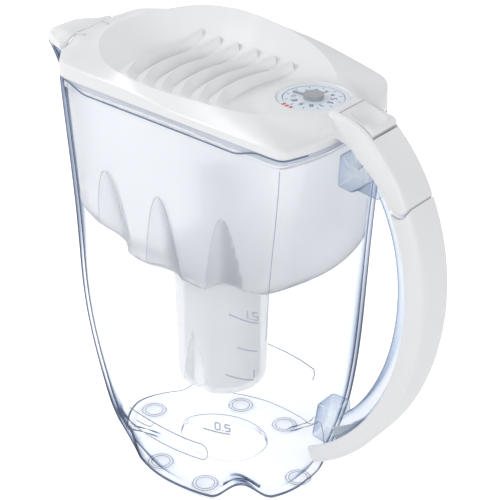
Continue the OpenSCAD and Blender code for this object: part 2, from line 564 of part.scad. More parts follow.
// ---- Calendar dial ----
tray_z = crown_z - 2;
tray_t = 1.2;
dial_z = tray_z + tray_t + 0.3;
dial_t = 1;
module calendar_tray() color([0.80, 0.84, 0.88]) at_origin() translate([dial_x, 0, tray_z]) difference() {
    union() {
        cylinder(r = dial_well_r - 0.1, h = tray_t);
        difference() {
            cylinder(r = dial_well_r - 0.1, h = tray_t + 1.6);
            translate([0, 0, -1]) cylinder(r = dial_r + 0.4, h = 9);
        }
    }
    translate([0, 0, -1]) cylinder(r = dial_axle_r, h = 9);
}
module calendar_axle() color([0.85, 0.87, 0.9]) at_origin()
    translate([dial_x, 0, tray_z - 1.9]) cylinder(r = dial_axle_r, h = 5.5);
module calendar_dial() color([0.90, 0.94, 0.98]) at_origin() translate([dial_x, 0, dial_z]) difference() {
    cylinder(r = dial_r, h = dial_t);
    translate([0, 0, -1]) cylinder(r = dial_axle_r + pin_gap, h = 9);
}
module calendar_knob() color([0.62, 0.65, 0.68]) at_origin() translate([dial_x, 0, dial_z + dial_t]) difference() {
    union() {
        cylinder(r = dial_knob_r, h = 2.4);
        translate([-dial_r + 3, -0.7, 0]) cube([dial_r - 5, 1.4, 0.8]);
    }
    translate([0, 0, -1]) cylinder(r = dial_axle_r + pin_gap, h = 2.6);
}

// ---- Spout flap ----
lip_z = rim_z + spout_rise;
function nose_point(a, in) = let (r = jug_r(a, rim_z) + spout_reach * spout(a) - in) [r * cos(a), r * sin(a)];
flap_turns = [for (a = [169:2:191]) a];
// The flap's back corners are cut off, so that they swing clear of the lid
flap_plan = concat([[flap_back, 18], [flap_back - 3, 22]], [for (a = flap_turns) nose_point(a, 0.3)],
                   [[flap_back - 3, -22], [flap_back, -18]]);
flap_hollow = concat([[flap_back + 5, 22 - flap_t]], [for (a = flap_turns) nose_point(a, flap_t + 0.3)],
                     [[flap_back + 5, flap_t - 22]]);
flap_top = [[-90, 0.3], [-104, 0.6], [-112, 0.3], [-118, -0.9], [-123, -2.9], [-127, -5.6], [-133, -8.8]];
flap_low = [[-133, lip_z + 0.8], [-128, lip_z + 0.7], [-121, lip_z - 0.6], [-113, rim_z + 4.1],
            [-106, rim_z + 2], [-100, rim_z + 0.8], [-90, rim_z + 0.7]];
function flap_line(down) = [for (p = flap_top) [p[0], front_z + p[1] - down]];
module spout_flap() color([0.95, 0.96, 0.97]) at_origin() {
    intersection() {
        translate([0, 0, rim_z - 5]) linear_extrude(40) polygon(flap_plan);
        plate_y(concat(flap_line(0), [for (i = [len(flap_top) - 1:-1:0]) flap_line(flap_t)[i]]), 40);
    }
    intersection() {
        translate([0, 0, rim_z - 5]) linear_extrude(40) difference() {
            polygon(flap_plan);
            polygon(flap_hollow);
        }
        plate_y(concat(flap_line(0.4), flap_low), 40);
    }
    plate_y([[flap_hinge[0], front_z - 0.1], [flap_back - 2.5, front_z - 0.1],
             [flap_back - 2.5, front_z - 2], [flap_hinge[0], front_z - 2]], flap_slot - move_gap);
    rod_y(flap_hinge[0], flap_hinge[1], flap_barrel_r, flap_slot - move_gap);
    rod_y(flap_hinge[0], flap_hinge[1], flap_pivot_r, flap_slot + 3);
}

// ---- Thumb lever ----
lever_side = [[-8.3, 8.5], [-5.7, 7.8], [-3, 6.5], [0, 5.1], [2.5, 4.3], [5, 4], [8, 4.1], [9.8, 4.4],
              [11, 3.9], [11.6, 3.1], [11.9, 1.1], [10.2, -2.2], [5, -3.1], [-3, -2.7], [-7.8, 2.1]];
module thumb_lever() color([0.95, 0.96, 0.97]) at_origin() difference() {
    union() {
        plate_y([for (p = lever_side) lever_hinge + p], lever_w / 2);
        plate_y([[latch_x - 2.3, latch_z], [latch_x, latch_z], [latch_x, lever_hinge[1]],
                 [latch_x - 2.3, lever_hinge[1]]], 4);
    }
    rod_y(lever_hinge[0], lever_hinge[1], lever_pin_r + pin_gap, half_w);
}
module lever_pin() color([0.75, 0.76, 0.78]) at_origin()
    rod_y(lever_hinge[0], lever_hinge[1], lever_pin_r, pin_half - 0.2);
spring_low = seat_z + seat_t;
spring_high = lever_hinge[1] - 3.4;
spring_t = 0.6;
module lever_spring() color([0.78, 0.79, 0.80]) at_origin()
    plate_y([[seat_x + 4.6, spring_low], [seat_x + 4.6, spring_low + spring_t], [seat_x + 1.4, spring_low + spring_t],
             [seat_x + 4.2, spring_high - 0.1], [seat_x + 3.5, spring_high], [seat_x + 0.4, spring_low + spring_t],
             [seat_x + 0.4, spring_low]], 4);

jug_body();
foot_pads();
handle_core();
handle_cover();
lid_hinge_pin();
funnel();
cartridge_housing();
cartridge_cap();
cartridge_grip();
cartridge_seal();
cartridge_screen();
filter_media();
lid();
calendar_tray();
calendar_axle();
calendar_dial();
calendar_knob();
spout_flap();
thumb_lever();
lever_pin();
lever_spring();
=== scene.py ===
import math

import bmesh
import bpy
import numpy as np
from mathutils import Matrix, Vector


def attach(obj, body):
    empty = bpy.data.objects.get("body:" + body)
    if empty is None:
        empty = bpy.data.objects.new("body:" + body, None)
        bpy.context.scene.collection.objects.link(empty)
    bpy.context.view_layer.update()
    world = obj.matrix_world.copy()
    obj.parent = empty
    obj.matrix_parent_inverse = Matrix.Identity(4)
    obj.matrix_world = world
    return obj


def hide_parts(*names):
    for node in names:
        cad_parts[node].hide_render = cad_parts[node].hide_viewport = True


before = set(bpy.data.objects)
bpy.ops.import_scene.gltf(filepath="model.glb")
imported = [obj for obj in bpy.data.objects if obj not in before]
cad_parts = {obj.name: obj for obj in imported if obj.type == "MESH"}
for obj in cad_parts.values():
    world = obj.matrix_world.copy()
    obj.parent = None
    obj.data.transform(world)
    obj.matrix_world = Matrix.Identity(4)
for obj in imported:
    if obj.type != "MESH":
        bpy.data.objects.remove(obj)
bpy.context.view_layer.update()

# ---------------------------------------- sizes in mm, x from the middle of the foot
# Jug: rim, walls and floor, arches between the feet, finger dips in the rim, the floor's raised disc, feet.
RIM_Z, WALL, RIM_WALL, FLOOR_T = 231.6, 2.4, 1.6, 2.6
ARCH_H, DIP_H, DISC_H, DISC_PART = 11.0, 4.5, 2.0, 0.425
FOOT_Z, FOOT_EDGE, ARCH_TOP = 3.0, 2.4, 26
PAD_T = 1.2
PADS = [(-57.5, 0), (57.5, 0), (-17.6, 38.8), (-17.6, -38.8), (17.6, 38.8), (17.6, -38.8)]
MIDDLE_X = 7.65773

# Spout: how far it reaches, half its width in degrees, and its lip's rise by degrees off its middle.
SPOUT_REACH, SPOUT_HALF = 16.5, 14
RISE = np.array([[0, 6.7], [3, 6.9], [6, 7.5], [9, 8.5], [12, 9.4], [12.5, 0], [181, 0]])

# Sections of the jug at four levels: the distances of its kinds of face and the sharpness of its corners.
LEVELS = (3.0, 45.0, 120.0, 231.6)
SECTIONS = np.array([[89, 55.5, 133, 92, 250, 1 / 1.95], [83, 64, 99, 76, 200, 1 / 3.6],
                     [84, 51, 87, 109, 1.12 * 87, 1 / 9.6], [91, 41.5, 92.5, 115.5, 87, 1 / 33]])
FACE_TURNS = ((22, 0), (-22, 0), (94.5, 1), (-94.5, 1), (142.5, 2), (-142.5, 2), (180, 3), (0, 4))

# Handle: its outer line is an ellipse below HANDLE_Z, another above, and a curve into the lid past NECK_T.
HANDLE_REACH, HANDLE_Z, UP_H, LOW_H, UP_X, LOW_X = 144.2, 150.0, 109.6, 131.0, 60.0, 40.0
NECK_T, NECK_X, NECK_Z = 56, 80.0, RIM_Z + 17.6
HALF_W, COVER_T, COVER_DEPTH, CORE_DEPTH = 13.5, 2.4, 11.0, 20.5
BARREL_R, CLEAR_R, KNUCKLE_R, BORE_R = 5.2, 5.982, 3.1, 3.5
HINGE_T, CORE_TOP, LATCH_Z = 33, 43.997, 223.58

# Funnel, with three flutes a side: where each tip and foot is in degrees, half its width, its top.
FUNNEL_H, FUNNEL_T, FUNNEL_GAP, FUNNEL_WELL_R, FLUTE = 98.6, 2.0, 1.6, 29.0, 5.0
TIPS, FEET, HALVES, TOPS = (50, 106, 144), (50.5, 96, 136.5), (9.5, 18, 8), (186.2, 182.3, 185.3)
FLUTES_TOP = 186.5

# Cartridge cup.
CART_H, CART_T, CART_R, CART_Z = 82.0, 1.8, 28.2, 135.1
CART_LOW = CART_Z - CART_H
NOTCH_HALF, NOTCH_H = 12, 43

# Lid: crown, seam to the flap, wave of the far edge, dish, dial well, hinge of the flap and of the lever.
LID_Z, LID_T, CROWN_Z, FRONT_Z, WAVE_H, DISH = 232.0, 2.4, 246.5, 249.5, 22.0, 4.0
SCOOP_X, SEAM_X, FLAP_X = -8.0, -98, -98.6
DIAL_X, WELL_R = 63.0, 19.5
FLAP_HINGE = (-94.5, FRONT_Z - 2.2)
LEVER_HINGE = (96.0, 239.979)


def smooth(t):
    """From 0 to 1 with level ends."""
    c = np.clip(t, 0, 1)
    return c * c * (3 - 2 * c)


def hump(t):
    """1 at 0, falling to 0 at -1 and 1."""
    return np.where(np.abs(t) < 1, np.cos(np.pi / 2 * np.clip(t, -1, 1)) ** 2, 0)


def section(z):
    """The jug's section at a height, on a curve through the four levels."""
    z = float(z)
    k = 0 if z < LEVELS[1] else 1 if z < LEVELS[2] else 2

    def slope(i):
        low, high = max(0, i - 1), min(3, i + 1)
        return (SECTIONS[high] - SECTIONS[low]) / (LEVELS[high] - LEVELS[low])

    h = LEVELS[k + 1] - LEVELS[k]
    t = min(1.0, (z - LEVELS[k]) / h)
    return ((2 * t**3 - 3 * t * t + 1) * SECTIONS[k] + (t**3 - 2 * t * t + t) * h * slope(k)
            + (3 * t * t - 2 * t**3) * SECTIONS[k + 1] + (t**3 - t * t) * h * slope(k + 1))


def reach(turn, sizes):
    """Radius of a rounded polygon in the direction of turn."""
    total = 0
    for face_turn, i in FACE_TURNS:
        total = total + (np.maximum(0, np.cos(np.radians(turn - face_turn))) / sizes[i]) ** (1 / sizes[5])
    return total ** (-sizes[5])


def jug_r(turn, z):
    """Outer radius of the jug."""
    return reach(turn, section(z))


def at(turn, r, z):
    """Points at a radius and height in the direction of turn."""
    rad = np.radians(turn)
    return np.stack([r * np.cos(rad), r * np.sin(rad), np.broadcast_to(z, np.shape(turn)) + 0 * rad], axis=-1)


# ---------------------------------------- meshes
def make(name, points, faces, material, body=None, crease=35, slot=None):
    """One object from points in mm; edges sharper than crease stay sharp."""
    mesh = bpy.data.meshes.new(name)
    pts = (np.asarray(points, float) - (MIDDLE_X, 0, 0)) / 1000
    mesh.from_pydata(pts.tolist(), [], [tuple(int(i) for i in f) for f in faces])
    bm = bmesh.new()
    bm.from_mesh(mesh)
    bmesh.ops.recalc_face_normals(bm, faces=bm.faces)
    for e in bm.edges:
        e.smooth = len(e.link_faces) != 2 or e.calc_face_angle(0) < math.radians(crease)
    bm.to_mesh(mesh)
    bm.free()
    mesh.polygons.foreach_set("use_smooth", [True] * len(mesh.polygons))
    obj = bpy.data.objects.new(name, mesh)
    bpy.context.scene.collection.objects.link(obj)
    if material:
        mesh.materials.append(material)
    if body:
        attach(obj, body)
    return obj


def ring_faces(m, n):
    """Faces between m rings of n points."""
    return [(i * n + j, (i + 1) * n + j, (i + 1) * n + (j + 1) % n, i * n + (j + 1) % n)
            for i in range(m - 1) for j in range(n)]


def skin(name, rings, material, **more):
    """A closed solid from rings, each end closed by a fan."""
    rings = np.asarray(rings)
    m, n = rings.shape[:2]
    pts = np.concatenate([rings.reshape(-1, 3), [rings[0].mean(axis=0), rings[-1].mean(axis=0)]])
    faces = ring_faces(m, n)
    faces += [(m * n, j, (j + 1) % n) for j in range(n)]
    faces += [(m * n + 1, (m - 1) * n + (j + 1) % n, (m - 1) * n + j) for j in range(n)]
    return make(name, pts, faces, material, **more)


def torus(name, rings, material, **more):
    """A solid from rings, the last joined to the first."""
    rings = np.asarray(rings)
    m, n = rings.shape[:2]
    faces = ring_faces(m, n)
    faces += [((m - 1) * n + j, j, (j + 1) % n, (m - 1) * n + (j + 1) % n) for j in range(n)]
    return make(name, rings.reshape(-1, 3), faces, material, **more)


def tube(name, loops, material, **more):
    """A solid from loops, each end closed by its own loop."""
    loops = np.asarray(loops)
    m, n = loops.shape[:2]
    faces = ring_faces(m, n) + [tuple(range(n)), tuple(range((m - 1) * n, m * n))[::-1]]
    return make(name, loops.reshape(-1, 3), faces, material, **more)


def prism_y(name, outline, half, material, bevel=0.0, **more):
    """A side outline in x and z given a width across Y, with its rims rounded."""
    n = len(outline)
    pts = [(x, s * half, z) for s in (-1, 1) for x, z in outline]
    faces = [tuple(range(n)), tuple(range(n, 2 * n))[::-1]]
    faces += [(i, (i + 1) % n, n + (i + 1) % n, n + i) for i in range(n)]
    obj = make(name, pts, faces, material, **more)
    if bevel:
        add_bevel(obj, bevel)
    return obj


def add_bevel(obj, width, angle=30):
    """Rounds the edges of obj that are sharper than angle."""
    mod = obj.modifiers.new("round", "BEVEL")
    mod.width = width / 1000
    mod.segments = 3
    mod.limit_method = "ANGLE"
    mod.angle_limit = math.radians(angle)
    mod.harden_normals = True


def lathe_rings(profile, x=0.0, n=96):
    """Level rings from a profile of (radius, height), about an upright axis at x."""
    turn = np.radians(np.arange(n) * 360 / n)
    return [np.stack([x + r * np.cos(turn), r * np.sin(turn), np.full(n, z)], axis=-1) for r, z in profile]


def lathe_tool(profile, x):
    """A solid turned about an upright axis at x, for Booleans."""
    return skin("tool", lathe_rings(profile, x), None)


def rod_y(name, centre, r, half, material=None, n=64, **more):
    """A rod across the part, about a centre in x and z."""
    x, z = centre
    turn = [2 * math.pi * j / n for j in range(n)]
    loops = [[(x + r * math.cos(a), y, z + r * math.sin(a)) for a in turn] for y in (-half, half)]
    return tube(name, loops, material, **more)


def block(low, high):
    """A box between two corners, for Booleans."""
    x, y, z = zip(low, high)
    pts = [(a, b, c) for a in x for b in y for c in z]
    faces = [(0, 1, 3, 2), (4, 6, 7, 5), (0, 4, 5, 1), (2, 3, 7, 6), (0, 2, 6, 4), (1, 5, 7, 3)]
    return make("tool", pts, faces, None)


def cut(obj, tools, operation="DIFFERENCE", crease=32):
    """Applies Booleans to obj and removes the tools."""
    for tool in tools:
        mod = obj.modifiers.new("cut", "BOOLEAN")
        mod.operation = operation
        mod.solver = "EXACT"
        mod.object = tool
        bpy.context.view_layer.update()
        graph = bpy.context.evaluated_depsgraph_get()
        mesh = bpy.data.meshes.new_from_object(obj.evaluated_get(graph))
        obj.modifiers.clear()
        old = obj.data
        obj.data = mesh
        bpy.data.meshes.remove(old)
        bpy.data.objects.remove(tool)
    bm = bmesh.new()
    bm.from_mesh(obj.data)
    bmesh.ops.remove_doubles(bm, verts=bm.verts, dist=1e-6)
    for e in bm.edges:
        e.smooth = len(e.link_faces) != 2 or e.calc_face_angle(0) < math.radians(crease)
    for f in bm.faces:
        f.smooth = True
    bm.to_mesh(obj.data)
    bm.free()


# ---------------------------------------- materials
def principled(name, color, roughness, **sockets):
    """A material and its shader node, with further sockets set by name."""
    mat = bpy.data.materials.new(name)
    mat.use_nodes = True
    node = mat.node_tree.nodes["Principled BSDF"]
    node.inputs["Base Color"].default_value = (*color, 1)
    node.inputs["Roughness"].default_value = roughness
    for key, value in sockets.items():
        node.inputs[key.replace("_", " ")].default_value = value
    return mat, node


def fine_grain(mat, node, scale, strength, spread):
    """A faint procedural grain in bump and roughness."""
    tree = mat.node_tree
    coord = tree.nodes.new("ShaderNodeTexCoord")
    noise = tree.nodes.new("ShaderNodeTexNoise")
    noise.inputs["Scale"].default_value = scale
    noise.inputs["Detail"].default_value = 4
    bump = tree.nodes.new("ShaderNodeBump")
    bump.inputs["Strength"].default_value = strength
    bump.inputs["Distance"].default_value = 0.0001
    ramp = tree.nodes.new("ShaderNodeMapRange")
    low = node.inputs["Roughness"].default_value
    ramp.inputs["To Min"].default_value = low - spread
    ramp.inputs["To Max"].default_value = low + spread
    tree.links.new(coord.outputs["Object"], noise.inputs["Vector"])
    tree.links.new(noise.outputs["Fac"], bump.inputs["Height"])
    tree.links.new(noise.outputs["Fac"], ramp.inputs["Value"])
    tree.links.new(bump.outputs["Normal"], node.inputs["Normal"])
    tree.links.new(ramp.outputs["Result"], node.inputs["Roughness"])
    return mat


def clear(name, tints, gloss, rough=0.02):
    """Thin clear plastic: tints by how edge-on it is seen, darkening to navy edge-on as a painted reflection
    of dark surroundings, with a gloss that grows towards the edge.
    """
    mat = bpy.data.materials.new(name)
    mat.use_nodes = True
    tree = mat.node_tree
    tree.nodes.clear()
    weight = tree.nodes.new("ShaderNodeLayerWeight")
    weight.inputs["Blend"].default_value = 0.5
    ramps = []
    for stops in (tints, gloss):
        ramp = tree.nodes.new("ShaderNodeValToRGB")
        elements = ramp.color_ramp.elements
        while len(elements) < len(stops):
            elements.new(0.5)
        for element, (place, color) in zip(elements, stops):
            element.position = place
            element.color = (*color, 1) if isinstance(color, tuple) else (color, color, color, 1)
        tree.links.new(weight.outputs["Facing"], ramp.inputs["Fac"])
        ramps.append(ramp)
    through = tree.nodes.new("ShaderNodeBsdfTransparent")
    shine = tree.nodes.new("ShaderNodeBsdfPrincipled")
    shine.inputs["Base Color"].default_value = (0.8, 0.84, 0.9, 1)
    shine.inputs["Roughness"].default_value = rough
    shine.inputs["Metallic"].default_value = 1
    mix = tree.nodes.new("ShaderNodeMixShader")
    out = tree.nodes.new("ShaderNodeOutputMaterial")
    tree.links.new(ramps[0].outputs["Color"], through.inputs["Color"])
    tree.links.new(ramps[1].outputs["Color"], mix.inputs["Fac"])
    tree.links.new(through.outputs["BSDF"], mix.inputs[1])
    tree.links.new(shine.outputs["BSDF"], mix.inputs[2])
    tree.links.new(mix.outputs["Shader"], out.inputs["Surface"])
    return fine_grain(mat, shine, 300, 0.01, rough / 3)


def plain(name, color, roughness, grain, **sockets):
    """A plain material; grain is the scale, the depth and the spread in roughness."""
    return fine_grain(*principled(name, color, roughness, **sockets), *grain)


GLOSS_GRAIN, SATIN_GRAIN, MARK_GRAIN = (500, 0.02, 0.03), (900, 0.03, 0.03), (500, 0.02, 0.02)
WHITE = plain("white satin", (0.765, 0.77, 0.785), 0.34, SATIN_GRAIN)
# Both clear plastics darken towards navy edge-on: a painted reflection of dark surroundings.
CLEAR = clear("clear plastic",
              [(0, (0.99, 0.993, 0.998)), (0.6, (0.98, 0.986, 0.994)), (0.75, (0.93, 0.945, 0.97)),
               (0.82, (0.36, 0.42, 0.54)), (0.88, (0.05, 0.08, 0.17)), (1, (0.012, 0.025, 0.08))],
              [(0, 0.015), (0.6, 0.03), (1, 0.08)])
CORE = clear("clear handle",
             [(0, (0.955, 0.965, 0.98)), (0.35, (0.90, 0.92, 0.95)), (0.6, (0.66, 0.73, 0.83)),
              (0.8, (0.26, 0.33, 0.48)), (1, (0.04, 0.06, 0.14))],
             [(0, 0.06), (0.6, 0.15), (1, 0.4)])
FROSTED, FROSTED_SHADE = (0.97, 0.975, 0.985), (0.68, 0.69, 0.71)
FROST = plain("frosted", FROSTED, 0.42, (700, 0.01, 0.02), IOR=1.2, Transmission_Weight=0.84)
# Grey-blue for the lid's white inner skirt: painted shade under the lid.
SKIRT_PAINTED_SHADE = plain("shaded white", (0.62, 0.66, 0.74), 0.5, (700, 0.02, 0.03))
# Grey for painted shade along the funnel's lower edge and its flute rims.
FLUTE_EDGE_SHADE = plain("flute line", (0.60, 0.62, 0.66), 0.3, MARK_GRAIN)
# Navy for painted shade where clear edges show dark: the rim's edge under the lid and the foot's edge.
PAINTED_EDGE_SHADE = plain("dark edge", (0.12, 0.16, 0.27), 0.3, MARK_GRAIN)
CARTRIDGE = plain("cartridge white", (0.97, 0.975, 0.99), 0.3, GLOSS_GRAIN, Alpha=0.5)
DIAL = plain("dial", (0.70, 0.77, 0.86), 0.25, GLOSS_GRAIN)
GREY = plain("grey", (0.33, 0.35, 0.38), 0.35, GLOSS_GRAIN)
RED = plain("red mark", (0.72, 0.07, 0.07), 0.4, GLOSS_GRAIN)
INK = plain("ink", (0.10, 0.11, 0.13), 0.5, GLOSS_GRAIN)
# Grey for the moulded volume marks and panel lines, and also painted shade: the lines at the near corner,
# round the feet and round the floor's disc.
MARK_AND_EDGE_SHADE = plain("moulded mark and edge shade", (0.45, 0.48, 0.55), 0.4, MARK_GRAIN)
RUBBER = plain("seal", (0.45, 0.47, 0.50), 0.6, (500, 0.05, 0.05))
MEDIA = plain("media", (0.95, 0.955, 0.97), 0.8, (1500, 0.5, 0.05))
STEEL = plain("steel", (0.6, 0.61, 0.63), 0.3, (900, 0.03, 0.05), Metallic=1.0)


# ---------------------------------------- jug
def turns():
    """Directions round the jug, closer together at its corners and at the spout."""
    corner, next_corner, spout_from = 31, 118.5, 164
    out = [0.0]
    while out[-1] < 180:
        a = out[-1]
        near = min(abs(a - corner), abs(a - next_corner)) < 8 or a > spout_from
        out.append(a + (0.35 if near and abs(a - corner) < 9 else 0.6 if near else 1.2))
    out[-1] = 180.0
    return np.array(out + [360 - a for a in out[-2:0:-1]])


def fold(turn):
    """Degrees from the handle's side, the same on both sides of the jug."""
    turn = turn % 360
    return np.where(turn > 180, 360 - turn, turn)


def dip(x):
    """Depth of the finger dips in the long sides of the rim."""
    return DIP_H * smooth((x + 86) / 20) * smooth((64 - x) / 20)


T = turns()
FOLD = fold(T)
SPOUT = hump((T - 180) / SPOUT_HALF)
ARCH = ARCH_H * (hump((FOLD - 41) / 18) + hump((FOLD - 139) / 18))
DIP = dip(jug_r(T, RIM_Z) * np.cos(np.radians(T)))


def flare(z):
    """How far the spout stands out at a height."""
    return SPOUT_REACH * np.maximum(0, 1 - (RIM_Z - z) / 24) ** 2.2


def wall_ring(z, inset):
    """A level ring of the wall."""
    return at(T, jug_r(T, z) + flare(z) * SPOUT - inset, z)


def top_ring(part, inset):
    """A ring near the rim; part 1 follows the finger dips and the spout's lip."""
    low = RIM_Z - 8
    top = RIM_Z - DIP + np.interp(180 - FOLD, RISE[:, 0], RISE[:, 1])
    z = low + part * (top - low)
    level = low + part * (RIM_Z - low)
    return at(T, jug_r(T, level) + flare(level) * SPOUT - inset, z)


def jug():
    """The clear body, from the underside up the outer wall, over the rim and down inside."""
    foot = jug_r(T, FOOT_Z)
    low = PAD_T + ARCH + FOOT_EDGE

    def floor(p, up):
        lift = ARCH * smooth((p - 0.5) / 0.5) + (DISC_H if p < DISC_PART else 0)
        return at(T, p * (foot - up / 2), PAD_T + lift + up)

    def foot_ring(z, inset, least=0):
        """A ring of the lower wall, lifted over the arches."""
        part = (z - PAD_T - FOOT_EDGE) / (ARCH_TOP - PAD_T - FOOT_EDGE)
        return at(T, jug_r(T, z) - inset, np.maximum(low + part * (ARCH_TOP - low), least))

    parts = [0.02, 0.2, 0.36, 0.41, 0.42, 0.44, 0.45, 0.5, 0.56, 0.62, 0.68, 0.74, 0.8, 0.85, 0.89, 0.93]
    levels = [30, 34, 38, 42] + list(range(46, 224, 5))
    rings = [floor(p, 0) for p in parts]
    rings += [at(T, foot - FOOT_EDGE + FOOT_EDGE * math.sin(b), low - FOOT_EDGE * math.cos(b))
              for b in np.radians([0, 22, 45, 68, 90])]
    rings += [foot_ring(z, 0) for z in (6, 9, 12, 15, 18, 22, ARCH_TOP)]
    rings += [wall_ring(z, 0) for z in levels] + [wall_ring(RIM_Z - 8, 0)]
    rings += [top_ring(p, 0) for p in (0.3, 0.6, 0.9, 0.97)]
    rings += [top_ring(1, 0.25), top_ring(1, RIM_WALL - 0.25)]
    rings += [top_ring(p, RIM_WALL) for p in (0.97, 0.6, 0.31)]
    rings += [wall_ring(RIM_Z - 5.6, RIM_WALL), wall_ring(RIM_Z - 5.65, WALL + 1), wall_ring(RIM_Z - 8, WALL)]
    rings += [wall_ring(z, WALL) for z in levels[::-1]]
    rings += [foot_ring(z, WALL, low + 1.2) for z in (ARCH_TOP, 22, 18, 15)]
    rings += [floor(p, FLOOR_T) for p in parts[::-1]]
    return skin("jug_glass", rings, CLEAR, body="jug", crease=40, slot="clear_plastic")


glass = jug()
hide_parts("jug_body")


# ---------------------------------------- handle line
def bow(t):
    """A place on the handle's outer line, t degrees up from its farthest reach."""
    if t < NECK_T:
        x, high = (LOW_X, LOW_H) if t < 0 else (UP_X, UP_H)
        rad = math.radians(t)
        return np.array([x + (HANDLE_REACH - x) * math.cos(rad), HANDLE_Z + high * math.sin(rad)])
    wide, rad = HANDLE_REACH - UP_X, math.radians(NECK_T)
    end = np.array([UP_X + wide * math.cos(rad), HANDLE_Z + UP_H * math.sin(rad)])
    neck = np.array([NECK_X, NECK_Z])
    knee = np.array([end[0] - (neck[1] - end[1]) * wide * math.tan(rad) / UP_H, neck[1]])
    s = (t - NECK_T) / (90 - NECK_T)
    return (1 - s) ** 2 * end + 2 * s * (1 - s) * knee + s * s * neck


def bow_at(t, u):
    """A place u inside the handle's outer line."""
    a, b = bow(min(89.9, t + 0.4)), bow(min(89.9, t + 0.4) - 0.8)
    d = (a - b) / np.linalg.norm(a - b)
    return bow(t) - u * np.array([d[1], -d[0]])


HINGE = bow_at(HINGE_T, BARREL_R)


def sweep(outline, ts):
    """Loops of (u, y) outlines along the handle; outline may depend on t."""
    return [[(p[0], y, p[1]) for u, y in outline(t) for p in (bow_at(t, u),)] for t in ts]


def quarter(step):
    """Angles of a quarter of a circle, step degrees apart."""
    return np.radians(np.arange(0, 91, step))


def channel(depth):
    """A rounded channel that opens towards the fingers."""
    half, t, r = HALF_W, COVER_T, 3.6
    arc = [(r - r * math.cos(b), half - r + r * math.sin(b)) for b in quarter(15)]
    outer = [(depth - 0.5, -half), *[(u, -y) for u, y in arc[::-1]], *arc, (depth - 0.5, half),
             (depth, half - 0.5)]
    inner_r = max(0.4, r - t)
    inner = [(t + inner_r - inner_r * math.cos(b), half - t - inner_r + inner_r * math.sin(b))
             for b in quarter(30)]
    return (outer + [(depth, half - t + 0.3)] + inner[::-1] + [(u, -y) for u, y in inner]
            + [(depth, t - 0.3 - half), (depth, 0.5 - half)])


def core(t):
    """Half-round outline of the handle's clear core."""
    h, f, r = 10.5, 8.5, 5.0
    arc = [(CORE_DEPTH - r + r * math.sin(b), f - r + r * math.cos(b)) for b in quarter(15)]
    pts = [(3.0, h), (COVER_DEPTH, h), (COVER_DEPTH + 1.5, f)] + arc
    return [(3.0, -h)] + pts + [(u, -y) for u, y in pts[::-1]][:-1]


def handle():
    """The white cover and the clear core, which an arm and a root join to the jug."""
    loops = sweep(lambda t: channel(COVER_DEPTH), np.linspace(-68.5, 31.4, 70))
    low = tube("handle_cover_fine", loops, WHITE)
    cut(low, [rod_y("tool", HINGE, CLEAR_R, 20)])
    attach(low, "jug")
    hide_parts("handle_cover")
    inner = tube("handle_core_fine", sweep(core, np.linspace(-57, CORE_TOP, 60)), CORE)
    z = LATCH_Z
    arm = [(85.9, z + 0.4), (88.6, z), (91.6, z - 4), (97.6, z - 5.5), (99.6, z - 1.2), (102.1, z - 1.2),
           (103.6, z - 5.5), bow_at(CORE_TOP, 6), bow_at(CORE_TOP - 8, CORE_DEPTH - 0.5), (97.6, z - 17),
           (93.6, z - 19.5), (85.1, z - 18)]
    root = [(75.3, 66), (89, 66.5), bow_at(-53, CORE_DEPTH), bow_at(-55, 4), bow_at(-60, 3), (71.6, 42)]
    for outline in (arm, root):
        solid = prism_y("tool", outline, 8.0, None, bevel=2.2)
        cut(inner, [solid], "UNION")
    cut(inner, [rod_y("tool", HINGE, CLEAR_R, 20)])
    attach(inner, "jug")
    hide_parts("handle_core")
    rod_y("knuckle", HINGE, KNUCKLE_R, 10.3, CORE, body="jug", slot="clear_plastic")


handle()


# ---------------------------------------- funnel
def funnel_low(turn):
    """Height of the funnel's lower edge, which rises towards the spout and the handle."""
    off = fold(turn)
    return RIM_Z - FUNNEL_H + 5 + 22 * smooth((off - 118) / 52) + 11.5 * smooth((66 - off) / 28)


def flutes(off, z):
    """For each flute, how far down it a place is, and how far off its middle in half widths."""
    for tip, foot, half, high in zip(TIPS, FEET, HALVES, TOPS):
        down = np.clip((high - z) / (high - float(funnel_low(foot))), 0, 1)
        yield down, (off - tip - down * (foot - tip)) / (half * np.sqrt(down) + 0.01)


def funnel_r(turn, z):
    """Outer radius of the funnel, which keeps clear of the spout and is dented by the flutes."""
    nose = 6 * hump((turn % 360 - 180) / 22)
    dent = sum(FLUTE * down * np.maximum(0, 1 - off**2) for down, off in flutes(fold(turn), z))
    return np.vectorize(jug_r)(turn, z) - WALL - FUNNEL_GAP - nose - dent


